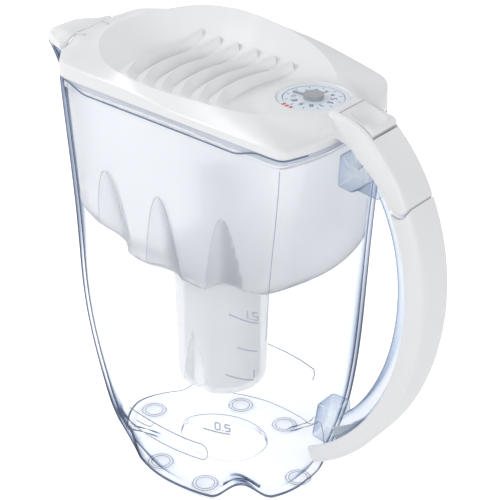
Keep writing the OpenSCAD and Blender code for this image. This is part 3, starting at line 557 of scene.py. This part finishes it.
def funnel():
    """The frosted funnel: from its well out and up to the flange, and back inside."""
    low = funnel_low(T)
    well_r, well_z = FUNNEL_WELL_R, RIM_Z - FUNNEL_H - 1.5
    flange_z = RIM_Z - 5.3
    flange_r = jug_r(T, RIM_Z) - RIM_WALL - 0.5 - 6 * hump((T - 180) / 22)

    def side(z, inset):
        z = np.broadcast_to(z, T.shape)
        return at(T, funnel_r(T, z) - inset, z)

    def side_part(part, round_off, inset):
        return side(low + part * (FLUTES_TOP - low) + round_off * (1 - part), inset)

    def slant(part, up):
        r = np.linalg.norm(side(low, 3)[:, :2], axis=1)
        return at(T, well_r + 3 + part * (r - well_r - 3), well_z + up + part * (low - well_z))

    parts = [0.02, 0.06, 0.12, 0.2, 0.28, 0.36, 0.44, 0.52, 0.6, 0.68, 0.76, 0.84, 0.9, 0.95, 1]
    rings = [at(T, well_r, well_z), slant(0, 0), slant(0.3, 0), slant(0.6, 0), slant(1, 0)]
    rings += [side_part(p, 2, 0) for p in parts] + [side(z, 0) for z in (190, 200, 210, 220, flange_z)]
    rings += [at(T, flange_r, flange_z), at(T, flange_r, flange_z + 1.6), side(flange_z + 1.6, FUNNEL_T)]
    rings += [side(z, FUNNEL_T) for z in (220, 210, 200, 190)]
    rings += [side_part(p, 3, FUNNEL_T) for p in parts[::-1]]
    rings += [slant(p, FUNNEL_T) for p in (0.9, 0.5, 0)] + [at(T, well_r, well_z + FUNNEL_T)]
    obj = torus("funnel_fine", rings, FROST, body="jug", crease=18, slot="frosted_plastic")
    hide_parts("funnel")
    flute_shade(obj, np.concatenate([shade(ring[:, 2]) for ring in rings]))


def shade(z):
    """How grey the flutes look round a ring: most on the side that faces away from the light."""
    total = 0
    for down, off in flutes(FOLD, z):
        inside = np.where(np.abs(off) < 1, 0.25 + 0.75 * smooth(0.5 - off), 0)
        total = total + inside * np.where(down > 0, 1, 0)
    return total


def flute_shade(obj, shades):
    """Colours the frosted plastic by the shade at each point."""
    layer = obj.data.attributes.new("flute", "FLOAT", "POINT")
    layer.data.foreach_set("value", np.asarray(shades, np.float32))
    tree = FROST.node_tree
    source = tree.nodes.new("ShaderNodeAttribute")
    source.attribute_name = "flute"
    ramp = tree.nodes.new("ShaderNodeValToRGB")
    ramp.color_ramp.elements[0].color = (*FROSTED, 1)
    ramp.color_ramp.elements[1].color = (*FROSTED_SHADE, 1)
    tree.links.new(source.outputs["Fac"], ramp.inputs["Fac"])
    tree.links.new(ramp.outputs["Color"], tree.nodes["Principled BSDF"].inputs["Base Color"])


def funnel_strip(name, stops, thick):
    """A thin line of painted shade on the funnel's outside through (turn, height) stops."""
    loops = []
    for a, z in stops:
        r = float(funnel_r(a, z))
        corners = ((-0.2, -thick / 2), (0.25, -thick / 2), (0.25, thick / 2), (-0.2, thick / 2))
        loops.append([tuple(at(np.array(a), r + dr, z + dz)) for dr, dz in corners])
    tube(name, loops, FLUTE_EDGE_SHADE, body="jug", slot="frosted_plastic")


def funnel_lines():
    """Painted shade: fine grey lines along the funnel's lower edge and round its near flutes, where these
    edges show darker.
    """
    edge = [(a, float(funnel_low(a)) + 2.3) for a in np.arange(-179, 179.1, 1.5)]
    funnel_strip("funnel_edge", edge, 0.5)
    for i, (tip, foot, half, high) in enumerate(zip(TIPS, FEET, HALVES, TOPS)):
        for j, side in enumerate((-1, 1)):
            stops = []
            for down in np.linspace(0.003, 0.97, 40):
                off = tip + down * (foot - tip) + side * half * math.sqrt(down)
                z = high - down * (high - float(funnel_low(foot)))
                stops.append((-off, max(z, float(funnel_low(off)) + 2.5)))
            funnel_strip(f"flute_rim_{i}_{j}", stops, 0.55)


funnel()
funnel_lines()


# ---------------------------------------- cartridge
def housing():
    """The cartridge's cup, with two notches in its lower edge."""
    media, bottom, screen = CART_R - 6, CART_R - 2, 19.3
    profile = [(media + 0.4, CART_LOW + 3), (screen, CART_LOW + 3), (screen, CART_LOW), (bottom - 4, CART_LOW),
               (bottom - 2, CART_LOW + 0.4), (bottom - 1, CART_LOW + 1.5), (bottom, CART_LOW + 5),
               (CART_R, CART_Z), (CART_R + 3, CART_Z), (CART_R + 3, CART_Z + 2),
               (CART_R - CART_T, CART_Z + 2), (CART_R - CART_T, CART_Z - 6), (media + 0.4, CART_Z - 8)]
    obj = torus("housing_fine", lathe_rings(profile), CARTRIDGE)
    wedge = [(-NOTCH_HALF, CART_LOW - 1), (NOTCH_HALF, CART_LOW - 1), (0, CART_LOW + NOTCH_H)]
    faces = [(0, 1, 2), (3, 5, 4), (0, 3, 4, 1), (1, 4, 5, 2), (2, 5, 3, 0)]
    for side in (-1, 1):
        pts = [(x, side * y, z) for y in (bottom - 4, bottom + 8) for x, z in wedge]
        cut(obj, [make("tool", pts, faces, None)])
    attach(obj, "jug")
    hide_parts("cartridge_housing")


housing()

# ---------------------------------------- materials of the CAD nodes that stay
CAD_MATERIALS = {"foot_pads": CLEAR, "lid_hinge_pin": STEEL, "lever_pin": STEEL, "lever_spring": STEEL,
                 "cartridge_cap": CARTRIDGE, "cartridge_grip": CARTRIDGE, "cartridge_screen": CARTRIDGE,
                 "cartridge_seal": RUBBER, "filter_media": MEDIA, "calendar_tray": DIAL,
                 "calendar_dial": DIAL, "calendar_axle": GREY, "calendar_knob": GREY}
for node, mat in CAD_MATERIALS.items():
    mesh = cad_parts[node].data
    mesh.materials.clear()
    mesh.materials.append(mat)

# ---------------------------------------- lid
LID_R = reach(T, SECTIONS[3])
# Round the lid by turn: how much of the wave's height the ridge has, and how far its shoulder lies below it.
RIDGE = np.array([[0, 0.02], [20, 0.08], [27, 0.22], [32, 0.44], [41, 0.66], [53, 0.82], [76, 0.95], [103, 1],
                  [127, 0.96], [141, 0.87], [150, 0.76], [162, 0.56], [173, 0.42], [183, 0.28], [192, 0.04],
                  [205, -0.08], [270, -0.11], [320, -0.08], [345, -0.02], [360, 0.02]])
DROP = np.array([[0, 9], [28, 8.5], [45, 5], [60, 4], [150, 4], [165, 6], [180, 8.3], [190, 5], [205, 4.5],
                 [225, 4.8], [245, 6], [265, 7.4], [300, 7.9], [340, 8.5], [360, 9]])
RIB_CENTRES = (6.2, 19.0, 32.2, 45.4, 58.2, 70.2)


def curve(turn, table):
    """A table read along a turn, with its corners rounded off."""
    return sum(np.interp((turn + d) % 360, table[:, 0], table[:, 1]) for d in (-5, -2.5, 0, 2.5, 5)) / 5


def scoop_r(turn):
    """Radius of the dish: an oval that is blunter at the handle's end."""
    c, s = np.abs(np.cos(np.radians(turn))), np.abs(np.sin(np.radians(turn)))
    back = np.cos(np.radians(turn)) > 0
    p, length = np.where(back, 4.0, 2.0), np.where(back, 73.0, 74.5)
    return ((c / length) ** p + (s / 36.9) ** p) ** (-1 / p)


def ridge(turn):
    """Height of the dish's edge."""
    return CROWN_Z + WAVE_H * curve(turn, RIDGE)


def seam_z(y):
    """Height of the seam between the lid and the spout flap."""
    return FRONT_Z + 0.06 * np.maximum(0, y) - 4 * smooth((-y - 11) / 11)


def top_z(x, y, z, weight=1.0):
    """The seam at the spout flap is level, and the dial's ring stands on a low mound."""
    front = weight * smooth((-80 - x) / 15)
    ring = 1 - smooth((np.hypot(x - DIAL_X, y) - WELL_R - 2) / 12)
    return ring * (CROWN_Z + 0.8) + (1 - ring) * (front * seam_z(y) + (1 - front) * z)


def scoop_z(x, y):
    """Height of the dish's surface."""
    turn = np.degrees(np.arctan2(y, x - SCOOP_X)) % 360
    part = np.hypot(x - SCOOP_X, y) / scoop_r(turn)
    floor_z = CROWN_Z - DISH
    return top_z(x, y, floor_z + (ridge(turn) - floor_z) * part**3)


def lid():
    """The lid's shell, joined with the upper handle cover, the dial's ring and the hinge barrel."""
    shoulder = ridge(T) - curve(T, DROP)

    def rim(inset, z):
        return at(T, LID_R - inset, z)

    def scoop(part, down):
        r = part * scoop_r(T)
        x, y = SCOOP_X + r * np.cos(np.radians(T)), r * np.sin(np.radians(T))
        return np.stack([x, y, scoop_z(x, y) - down], axis=-1)

    def slope(part, inset, down):
        p, q = rim(inset, shoulder), scoop(1, 0)
        xy = p[:, :2] + part * (q[:, :2] - p[:, :2])
        z = p[:, 2] + part * (ridge(T) - p[:, 2])
        z = top_z(xy[:, 0], xy[:, 1], z, float(smooth(part / 0.5)))
        return np.stack([xy[:, 0], xy[:, 1], z - down], axis=-1)

    parts = [0.985, 0.95, 0.9, 0.85, 0.8, 0.74, 0.68, 0.61, 0.54, 0.46, 0.38, 0.3, 0.2, 0.1, 0.03]
    round_edge = ((0.2, 2.6), (0.35, 1.6), (0.75, 0.7), (1.4, 0.1))
    rings = [scoop(p, LID_T) for p in parts[::-1]] + [scoop(1, LID_T), slope(0.5, 1.5 + LID_T, LID_T)]
    rings += [rim(1.5 + LID_T, shoulder - LID_T), rim(LID_T, LID_Z), rim(0.3, LID_Z), rim(0, LID_Z + 0.3)]
    rings += [rim(inset, shoulder - down) for inset, down in round_edge]
    rings += [slope(p, 1.5, 0) for p in (0.06, 0.14, 0.24, 0.36, 0.48, 0.6, 0.72, 0.84, 0.94)]
    rings += [scoop(1, 0)] + [scoop(p, 0) for p in parts]
    shell = skin("lid_fine", rings, WHITE, crease=40)
    cut(shell, lid_additions(), "UNION", 15)
    cut(shell, lid_openings(), crease=15)
    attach(shell, "lid")
    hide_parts("lid")
    lid_skirt()
    for i, cx in enumerate(RIB_CENTRES):
        rib(i, cx)


def lid_additions():
    """The upper handle cover, the dial's ring and the hinge barrel with rounded ends."""
    cover = sweep(lambda t: channel(COVER_DEPTH + 3 * float(smooth((t - 34) / 20))),
                  np.linspace(HINGE_T, 88, 50))
    ring = [(0.1, CROWN_Z - 5), (WELL_R + 3.4, CROWN_Z - 5), (WELL_R + 3.4, CROWN_Z + 0.9),
            (WELL_R + 2.4, CROWN_Z + 1.25), (WELL_R + 0.8, CROWN_Z + 1.4), (0.1, CROWN_Z + 1.4)]
    r = 3.6
    ends = [(BARREL_R - r * (1 - math.cos(b)), HALF_W - r + r * math.sin(b)) for b in quarter(15)]
    circle = np.radians(np.arange(0, 360, 6))
    barrel = [[(HINGE[0] + r * math.cos(b), y, HINGE[1] + r * math.sin(b)) for b in circle]
              for r, y in [(r, -y) for r, y in ends[::-1]] + ends]
    return [tube("tool", cover, None), lathe_tool(ring, DIAL_X), tube("tool", barrel, None)]


def lid_openings():
    """Room for the flap and its hinge and arms, the lever, the dial and the hinge pin."""
    below, above, past_nose, wide = 220, 290, -160, 60
    hinge_x, arm_out, arm_in = FLAP_HINGE[0] + 2.9, 11.4, 8.6
    well = [(0.1, CROWN_Z - 2), (WELL_R, CROWN_Z - 2), (WELL_R, CROWN_Z + 0.7), (WELL_R + 0.8, CROWN_Z + 1.5),
            (WELL_R + 0.8, above), (0.1, above)]
    return [block((past_nose, -wide, below), (SEAM_X, wide, above)),
            block((past_nose, -arm_out, below), (hinge_x, arm_out, FRONT_Z - 1.2)),
            block((past_nose, -arm_out, below), (hinge_x, -arm_in, above)),
            block((past_nose, arm_in, below), (hinge_x, arm_out, above)),
            block((87, -11.1, RIM_Z + 4), (108.6, 11.1, above)),
            lathe_tool(well, DIAL_X),
            rod_y("tool", HINGE, BORE_R, 11.1)]


def lid_skirt():
    """The lid's inner skirt, which shows through the clear rim; it is open at the spout. Its white is painted
    grey-blue as the shade under the lid.
    """
    inner = [[] for _ in range(4)]
    for a in np.arange(-160, 160.1, 1.0):
        r = float(reach(a, SECTIONS[3]))
        for ring, (inset, z) in zip(inner, ((2.6, 228.3), (4.0, 228.3), (4.0, 233.5), (2.6, 233.5))):
            ring.append(tuple(at(np.array(a), r - inset, z)))
    tube("lid_skirt", list(zip(*inner)), SKIRT_PAINTED_SHADE, body="lid", slot="white_plastic")


def rib(i, cx):
    """A step in the scoop: a riser that faces the handle and a tread that falls towards the spout."""
    cy, radius, pitch, start, sweep_turn = -4.3, 47.5, 12.9, 143.5, 82.5
    loops = []
    for a in np.linspace(start, start + sweep_turn, 60):
        c, s = math.cos(math.radians(a)), math.sin(math.radians(a))
        k = (a - start) / sweep_turn
        lean = 2.6 + 3.8 * float(smooth((k - 0.1) / 0.9))
        high = 4.6 + 3.6 * k * (1 - k) - 4.3 * float(smooth((k - 0.5) / 0.5))

        def on(out, up=0.0):
            x, y = cx + (radius + out) * c, cy + (radius + out) * s
            return x, y, float(scoop_z(np.array(x), np.array(y))) + up

        foot, end = on(0)[2], 0.97 * pitch
        crest = max(foot + high, on(lean, 0.1)[2])

        def tread(outs):
            return crest - (crest - foot + 0.1) * (outs - lean) / (end - lean)

        outs = np.linspace(lean + 0.4, end, 9)
        last = 8
        for m in range(9):
            if tread(outs)[m] < on(outs[m])[2] - 0.15:
                last = max(1, m)
                break
        outs = np.linspace(lean + 0.4, outs[last], 5)
        loop = [on(0, -1.0), on(0, 0.05)]
        loop += [(*on(lean * part)[:2], foot + (crest - foot) * part + 0.15) for part in (0.45, 0.88)]
        loop += [(*on(lean)[:2], crest)] + [(*on(out)[:2], z) for out, z in zip(outs, tread(outs))]
        loop.append(on(outs[-1], -1.2))
        loops.append(loop)
    steps = tube(f"rib_{i + 1}", loops, WHITE)
    around = np.arange(0, 360, 3.0)
    edge = [(SCOOP_X + 0.985 * r * math.cos(t), 0.985 * r * math.sin(t))
            for t, r in zip(np.radians(around), scoop_r(around))]
    cut(steps, [tube("tool", [[(x, y, z) for x, y in edge] for z in (235, 275)], None)], "INTERSECT", 25)
    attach(steps, "lid")


lid()


# ---------------------------------------- flap and lever
def flap_side():
    """Places on the flap's outline from its seam to its nose, on the far side."""
    turn = np.linspace(180 - SPOUT_HALF + 2, 180, 13)
    nose = jug_r(turn, RIM_Z) + SPOUT_REACH * hump((turn - 180) / SPOUT_HALF) - 0.3
    rad = np.radians(turn)
    return np.array([(FLAP_X, 18.0), (-101.9, 22.0), *zip(nose * np.cos(rad), nose * np.sin(rad))])


def flap():
    """The spout's flap: a shell whose top goes on from the lid, and two arms on a barrel under the lid."""
    side = flap_side()
    tip_x = side[:, 0].min()
    # By the distance in front of the middle: the height of the lower edge, and the rise of the top.
    edge_z = np.array([[98, 241.6], [108, 240.9], [118, 240.1], [124, 239.4], [129, 238.8]])
    top_rise = np.array([[90, 0], [98, 0], [104, 0.4], [110, 0.1], [116, -1.0], [121, -2.9], [126, -6.0],
                         [129, -8.4], [132, -10.6]])

    def section_at(x):
        half = float(np.interp(x, side[::-1, 0], side[::-1, 1])) if x > tip_x else 0.6
        low = float(np.interp(-x, edge_z[:, 0], edge_z[:, 1]))
        line = float(np.interp(-x, top_rise[:, 0], top_rise[:, 1]))
        back = float(smooth((x + 127) / 20))
        round_off = 0.3 + 2.2 * float(smooth((-x - 99) / 12))

        def across(h, down):
            out = []
            for v in np.linspace(-1, 1, 33):
                edge = round_off * float(smooth((abs(v) - 0.55) / 0.45))
                z = FRONT_Z + line + back * float(seam_z(v * h) - FRONT_Z) - edge - down
                out.append((v * h, max(z, low + 0.6 - down * 0.3)))
            return out

        outer = [(-half, low)] + across(half, 0) + [(half, low)]
        inner_half = max(0.2, half - 1.6)
        inner = [(inner_half, low)] + across(inner_half, 1.8)[::-1] + [(-inner_half, low)]
        return [(x, y, z) for y, z in outer + inner]

    nose_x, nose_long = -126, 5.2
    nose = nose_x - nose_long * np.sin(np.linspace(0.1, np.pi / 2, 12))
    stations = [x for x in (*np.linspace(FLAP_X, nose_x, 26), *nose) if x > tip_x] + [tip_x - 0.05]
    shell = tube("flap_fine", [section_at(x) for x in stations], WHITE, body="flap", crease=40,
                 slot="white_plastic")
    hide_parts("spout_flap")
    for name, y in (("near", -10), ("far", 10)):
        lift = float(seam_z(y))
        arm = [(-99.2, lift - 0.1), (-93.2, lift - 0.1), (-92.4, lift - 0.7), (-92.0, 248), (-91.9, 247.3),
               (-92.2, 246.0), (-93.2, 245.1), (-94.5, 244.8), (-99.2, 246.3)]
        tube(f"flap_arm_{name}", [[(x, y + d, z) for x, z in arm] for d in (-1.1, 1.1)], WHITE, body="flap",
             slot="white_plastic")
    rod_y("flap_barrel", FLAP_HINGE, 0.9, 11, WHITE, body="flap", slot="white_plastic")


flap()


def lever():
    """The thumb lever with its round bowl, and its hook."""
    x0, z0 = LEVER_HINGE
    outline = [(-8.3, 8.6), (-5.7, 8.0), (-3, 7.3), (0, 6.5), (2.5, 5.8), (5, 5.3), (8, 4.9), (9.8, 4.5),
               (11, 3.9), (11.6, 3.1), (11.9, 1.1), (10.2, -2.2), (5, -3.1), (-3, -2.7), (-7.8, 2.1)]
    loops = [[(x0 + x, y, z0 + z) for x, z in outline] for y in np.linspace(-10.5, 10.5, 15)]
    body = tube("lever_fine", loops, WHITE, crease=50, body="lever", slot="white_plastic")
    bowl_r, bowl_x, bowl_z = 17, x0 + 5.0, z0 + 20.2
    bowl = [(0.05 + bowl_r * math.sin(b), bowl_z - bowl_r * math.cos(b)) for b in np.linspace(0, 1.2, 40)]
    cut(body, [lathe_tool(bowl, bowl_x)], crease=30)
    add_bevel(body, 0.45, angle=40)
    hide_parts("thumb_lever")
    hook = [(95.3, LATCH_Z), (97.6, LATCH_Z), (97.6, 240), (95.3, 240)]
    prism_y("lever_hook", hook, 4, WHITE, body="lever", slot="white_plastic")


lever()

# ---------------------------------------- marks, and lines of painted shade along clear edges
STROKES = {"0": "abcdef", "1": "bc", "2": "abdeg", "3": "abcdg", "4": "bcfg", "5": "acdfg", "6": "acdefg",
           "7": "abc", "8": "abcdefg", "9": "abcdfg"}
SEGMENTS = {"a": ((0, 2), (1, 2)), "b": ((1, 1), (1, 2)), "c": ((1, 0), (1, 1)), "d": ((0, 0), (1, 0)),
            "e": ((0, 0), (0, 1)), "f": ((0, 1), (0, 2)), "g": ((0, 1), (1, 1))}


def number_lines(text, width, gap, height, s, z):
    """Plain strokes for a number: start and end of each, with the number's lower left at (s, z)."""
    lines, x = [], 0.0
    for sign in text:
        if sign == ".":
            lines.append(((x + 0.1 * width, 0), (x + 0.35 * width, 0)))
            x += 0.35 * width + gap
            continue
        for key in STROKES[sign]:
            (x0, z0), (x1, z1) = SEGMENTS[key]
            lines.append(((x + x0 * width, z0 * height / 2), (x + x1 * width, z1 * height / 2)))
        x += width + gap
    return [((s + s0, z + z0), (s + s1, z + z1)) for (s0, z0), (s1, z1) in lines]


def ribbons(name, lines, thick, place, material, steps=1, **more):
    """Flat bars along lines (s, z); place(s, z, out) puts a point of them on a surface."""
    pts, faces = [], []
    for (s0, z0), (s1, z1) in lines:
        length = math.hypot(s1 - s0, z1 - z0)
        ds, dz = (s1 - s0) / length, (z1 - z0) / length
        start = len(pts)
        for k in range(steps + 1):
            s, z = s0 + (s1 - s0) * k / steps, z0 + (z1 - z0) * k / steps
            for side, out in ((-1, 0), (1, 0), (1, 1), (-1, 1)):
                pts.append(place(s - dz * side * thick / 2, z + ds * side * thick / 2, out))
        for k in range(steps):
            near, far = start + 4 * k, start + 4 * k + 4
            faces += [(near + j, near + (j + 1) % 4, far + (j + 1) % 4, far + j) for j in range(4)]
        end = start + 4 * steps
        faces += [(start, start + 1, start + 2, start + 3), (end + 3, end + 2, end + 1, end)]
    return make(name, pts, faces, material, **more)


WALL_MID = 110.0


def wall_place(turn):
    """Puts (s, z) on the wall, s in mm round it at mid height from turn, just under its surface."""
    r0 = float(jug_r(turn, WALL_MID))

    def place(s, z, out):
        a = turn + math.degrees(s / r0)
        return tuple(at(np.array(a), float(jug_r(a, z)) - 0.42 + 0.4 * out, z))
    return place


# Each mark's name, the turn of its start, the degrees it spans, its height and its number.
VOLUMES = (("mark_15", -47.5, 10.2, 135.6, "1.5"), ("mark_mid", -44.6, 7.1, 117.9, ""),
           ("mark_10", -49.3, 10.7, 99.4, "1"), ("mark_05", -59.4, 11.7, 61.9, "0.5"))


def volume_marks():
    """Lines and plain numbers of litres on the near wall."""
    wide, gap, tall = 2.2, 0.8, 4.4
    for name, turn, span, z, text in VOLUMES:
        length = math.radians(span) * float(jug_r(turn, WALL_MID))
        total = wide * len(text) + gap * max(0, len(text) - 1) - (1.4 if "." in text else 0)
        lines = [((0, z), (length, z)), *number_lines(text, wide, gap, tall, length - total, z + 1.8)]
        ribbons(name, lines, 0.7, wall_place(turn), MARK_AND_EDGE_SHADE, steps=6, body="jug", slot="clear_plastic")


def dial_place(turn, r0, top=CROWN_Z + 0.5):
    """Puts (x, z) on the dial, z outwards from a radius r0 in the direction of turn."""
    c, s = math.cos(math.radians(turn)), math.sin(math.radians(turn))

    def place(x, z, out):
        r = r0 + z
        return DIAL_X + r * c + x * s, r * s - x * c, top - 0.05 + 0.12 * out
    return place


def dial_marks():
    """Plain numbers 1 to 12 and ticks on the dial, and three red strokes on the tray's ring."""
    wide, gap, tall = 1.5, 0.6, 2.8
    for k in range(12):
        turn = 150 - 30 * k
        text = str(k + 1)
        half = (wide * len(text) + gap * (len(text) - 1)) / 2
        lines = number_lines(text, wide, gap, tall, -half, 0)
        ribbons(f"month_{k + 1}", lines, 0.42, dial_place(turn, 9.2), INK, body="dial")
        tick = dial_place(turn + 15, 13.4)
        ribbons(f"month_tick_{k + 1}", [((0, 0), (0, 1.8))], 0.35, tick, INK, body="dial")
    for k in range(3):
        place = dial_place(-112 + 9 * k, 16.9, CROWN_Z + 0.8)
        ribbons(f"red_mark_{k + 1}", [((0, 0), (0, 2.4))], 1.7, place, RED, body="lid")


def wall_line(name, stops, thick, material, steps=1):
    """A thin bar on the wall through (turn, height) stops."""
    r0 = float(jug_r(0.0, WALL_MID))
    pts = [(math.radians(a) * r0, z) for a, z in stops]
    ribbons(name, list(zip(pts, pts[1:])), thick, wall_place(0.0), material, steps=steps, body="jug",
            slot="clear_plastic")


def panels():
    """Moulded lines on the walls, a long panel near the foot and its mate on the far side, and a grey line of
    painted shade down the near corner, where the wall's crease shows darker.
    """
    end = [(-60.5 + 3.0 * math.sin(a), 44.7 + 5.9 * math.cos(a)) for a in np.radians(range(0, 181, 20))]
    panel = [(a, 50.4) for a in range(-109, -61, 4)] + end + [(a, 38.9) for a in range(-62, -111, -4)]
    wall_line("panel_near", panel, 0.5, MARK_AND_EDGE_SHADE)
    wall_line("panel_inner", [(-103.6, 44.6), (-97, 45.2), (-92.6, 46.2), (-89.4, 50.2)], 0.45, MARK_AND_EDGE_SHADE)
    far = [(102.2, 38.6), (90, 37), (80, 35.4), (69.5, 33.4), (67.9, 30.5), (67.8, 26.9)]
    wall_line("panel_far", far, 0.45, MARK_AND_EDGE_SHADE)
    corner = [(-31.3, 226), (-31.5, 214), (-32.2, 194.5), (-33.1, 173.3), (-33.8, 154.7), (-34.4, 125.1)]
    # The corner line is painted shade along the wall's crease.
    wall_line("corner_line", corner, 0.35, MARK_AND_EDGE_SHADE, steps=4)


SIX = np.radians(np.arange(0, 360, 60))


def line_loop(x, y, z, r, a, wide, high):
    """Six points round a line at radius r from (x, y) in the direction a."""
    return [(x + (r + wide * math.cos(b)) * math.cos(a), y + (r + wide * math.cos(b)) * math.sin(a),
             z + high * math.sin(b)) for b in SIX]


def foot_lines():
    """Painted shade at clear edges: two fine grey rings round each foot, a dark line along the foot's edge and
    a grey line round the floor's disc.
    """
    for x, y in PADS:
        for r in (7.4, 5.6):
            loops = [line_loop(x, y, 1.45, r, a, 0.28, 0.22) for a in np.radians(np.arange(0, 360, 7.5))]
            name = f"foot_ring_{x:.0f}_{y:.0f}_{r:.0f}".replace("-", "m")
            closed_line(name, loops, MARK_AND_EDGE_SHADE)
    foot = jug_r(T, FOOT_Z)
    level = PAD_T + DISC_H + FLOOR_T + 0 * T
    for name, radii, heights, near, far, mat in (
            ("foot_line", foot - 0.85, PAD_T + ARCH + 1.5, 0.75, 0.22, PAINTED_EDGE_SHADE),
            ("disc_line", 0.43 * foot, level, 0.1, 0.28, MARK_AND_EDGE_SHADE)):
        loops = []
        for a, r, z in zip(np.radians(T), radii, heights):
            thick = far + (near - far) * float(smooth((0.35 - math.sin(a)) / 0.7))
            loops.append(line_loop(0, 0, z, r, a, thick, thick))
        closed_line(name, loops, mat)


def closed_line(name, loops, material):
    """A thin line that runs round into itself."""
    pts = np.asarray(loops + [loops[0]]).reshape(-1, 3)
    make(name, pts, ring_faces(len(loops) + 1, len(SIX)), material, body="jug", slot="clear_plastic")


def rim_line():
    """A painted dark line along the edge of the clear rim under the lid's near side: painted shade where that
    edge shows dark.
    """
    edge = []
    for a in np.arange(-172, -20, 1.0):
        x = float(jug_r(a, RIM_Z)) * math.cos(math.radians(a))
        edge.append((a, RIM_Z - 0.2 - float(dip(x))))
    wall_line("rim_line", edge, 0.7, PAINTED_EDGE_SHADE)


volume_marks()
dial_marks()
panels()
foot_lines()
rim_line()

# ---------------------------------------- camera, floor, light
# The camera's turn and tilt, its focal length for a picture 500 wide, and its place along its own axes.
TURN, TILT, FOCAL, AWAY, SIDE, UP = 0.672, 0.49012, 1500, 929.92, 16.25657, 120.41642
PICTURE_W = 500
back = Vector((math.sin(TURN) * math.cos(TILT), -math.cos(TURN) * math.cos(TILT), math.sin(TILT)))
right = Vector((math.cos(TURN), math.sin(TURN), 0))
up = back.cross(right)
scene = bpy.context.scene
camera = bpy.data.objects.new("camera", bpy.data.cameras.new("camera"))
scene.collection.objects.link(camera)
camera.matrix_world = Matrix((right, up, back)).transposed().to_4x4()
camera.matrix_world.translation = (back * AWAY + right * SIDE + up * UP - Vector((MIDDLE_X, 0, 0))) / 1000
camera.data.angle = 2 * math.atan(PICTURE_W / 2 / FOCAL)
camera.data.clip_start = 0.01
scene.camera = camera


def seen_directly(tree):
    """1 for rays from the camera and those mirrored or passed through by the object, else 0."""
    path = tree.nodes.new("ShaderNodeLightPath")
    last = path.outputs["Is Camera Ray"]
    for key in ("Is Glossy Ray", "Is Transmission Ray"):
        more = tree.nodes.new("ShaderNodeMath")
        more.operation = "MAXIMUM"
        tree.links.new(last, more.inputs[0])
        tree.links.new(path.outputs[key], more.inputs[1])
        last = more.outputs["Value"]
    return last


FLOOR_GLOW, WORLD_LIGHT = 0.42, 0.56


def ground():
    """A pale floor that keeps the object's shadow and looks white where it is seen directly."""
    mat, node = principled("floor", (0.93, 0.93, 0.93), 0.9)
    node.inputs["Specular IOR Level"].default_value = 0.1
    node.inputs["Emission Color"].default_value = (1, 1, 1, 1)
    tree = mat.node_tree
    glow = tree.nodes.new("ShaderNodeMapRange")
    glow.inputs["To Max"].default_value = FLOOR_GLOW
    tree.links.new(seen_directly(tree), glow.inputs["Value"])
    tree.links.new(glow.outputs["Result"], node.inputs["Emission Strength"])
    bpy.ops.mesh.primitive_plane_add(size=12)
    floor = bpy.context.object
    floor.name = "floor"
    hair = 0.0002
    floor.location.z = -hair
    floor.data.materials.append(mat)


def sky():
    """An even light all round, white where it is seen directly."""
    world = bpy.data.worlds.new("world")
    scene.world = world
    world.use_nodes = True
    tree = world.node_tree
    light = tree.nodes["Background"]
    light.inputs["Color"].default_value = (1, 1, 1, 1)
    light.inputs["Strength"].default_value = WORLD_LIGHT
    white = tree.nodes.new("ShaderNodeBackground")
    white.inputs["Strength"].default_value = 1
    white.inputs["Color"].default_value = (1, 1, 1, 1)
    mix = tree.nodes.new("ShaderNodeMixShader")
    tree.links.new(seen_directly(tree), mix.inputs["Fac"])
    tree.links.new(light.outputs["Background"], mix.inputs[1])
    tree.links.new(white.outputs["Background"], mix.inputs[2])
    tree.links.new(mix.outputs["Shader"], tree.nodes["World Output"].inputs["Surface"])


def lamp(name, place, size, power):
    """A square lamp that faces the middle of the jug."""
    target = (0, 0, 0.13)
    light = bpy.data.lights.new(name, "AREA")
    light.energy = power
    light.size = size
    obj = bpy.data.objects.new(name, light)
    obj.location = place
    obj.rotation_euler = (Vector(place) - Vector(target)).to_track_quat("Z", "Y").to_euler()
    scene.collection.objects.link(obj)


ground()
sky()
lamp("key", (-1.3, -0.7, 1.1), 0.7, 12)
lamp("fill", (1.1, -1.0, 0.7), 0.9, 8)
lamp("rim", (0.5, 1.3, 0.9), 0.8, 2)
scene.cycles.transparent_max_bounces = 48
scene.view_settings.view_transform = "Standard"
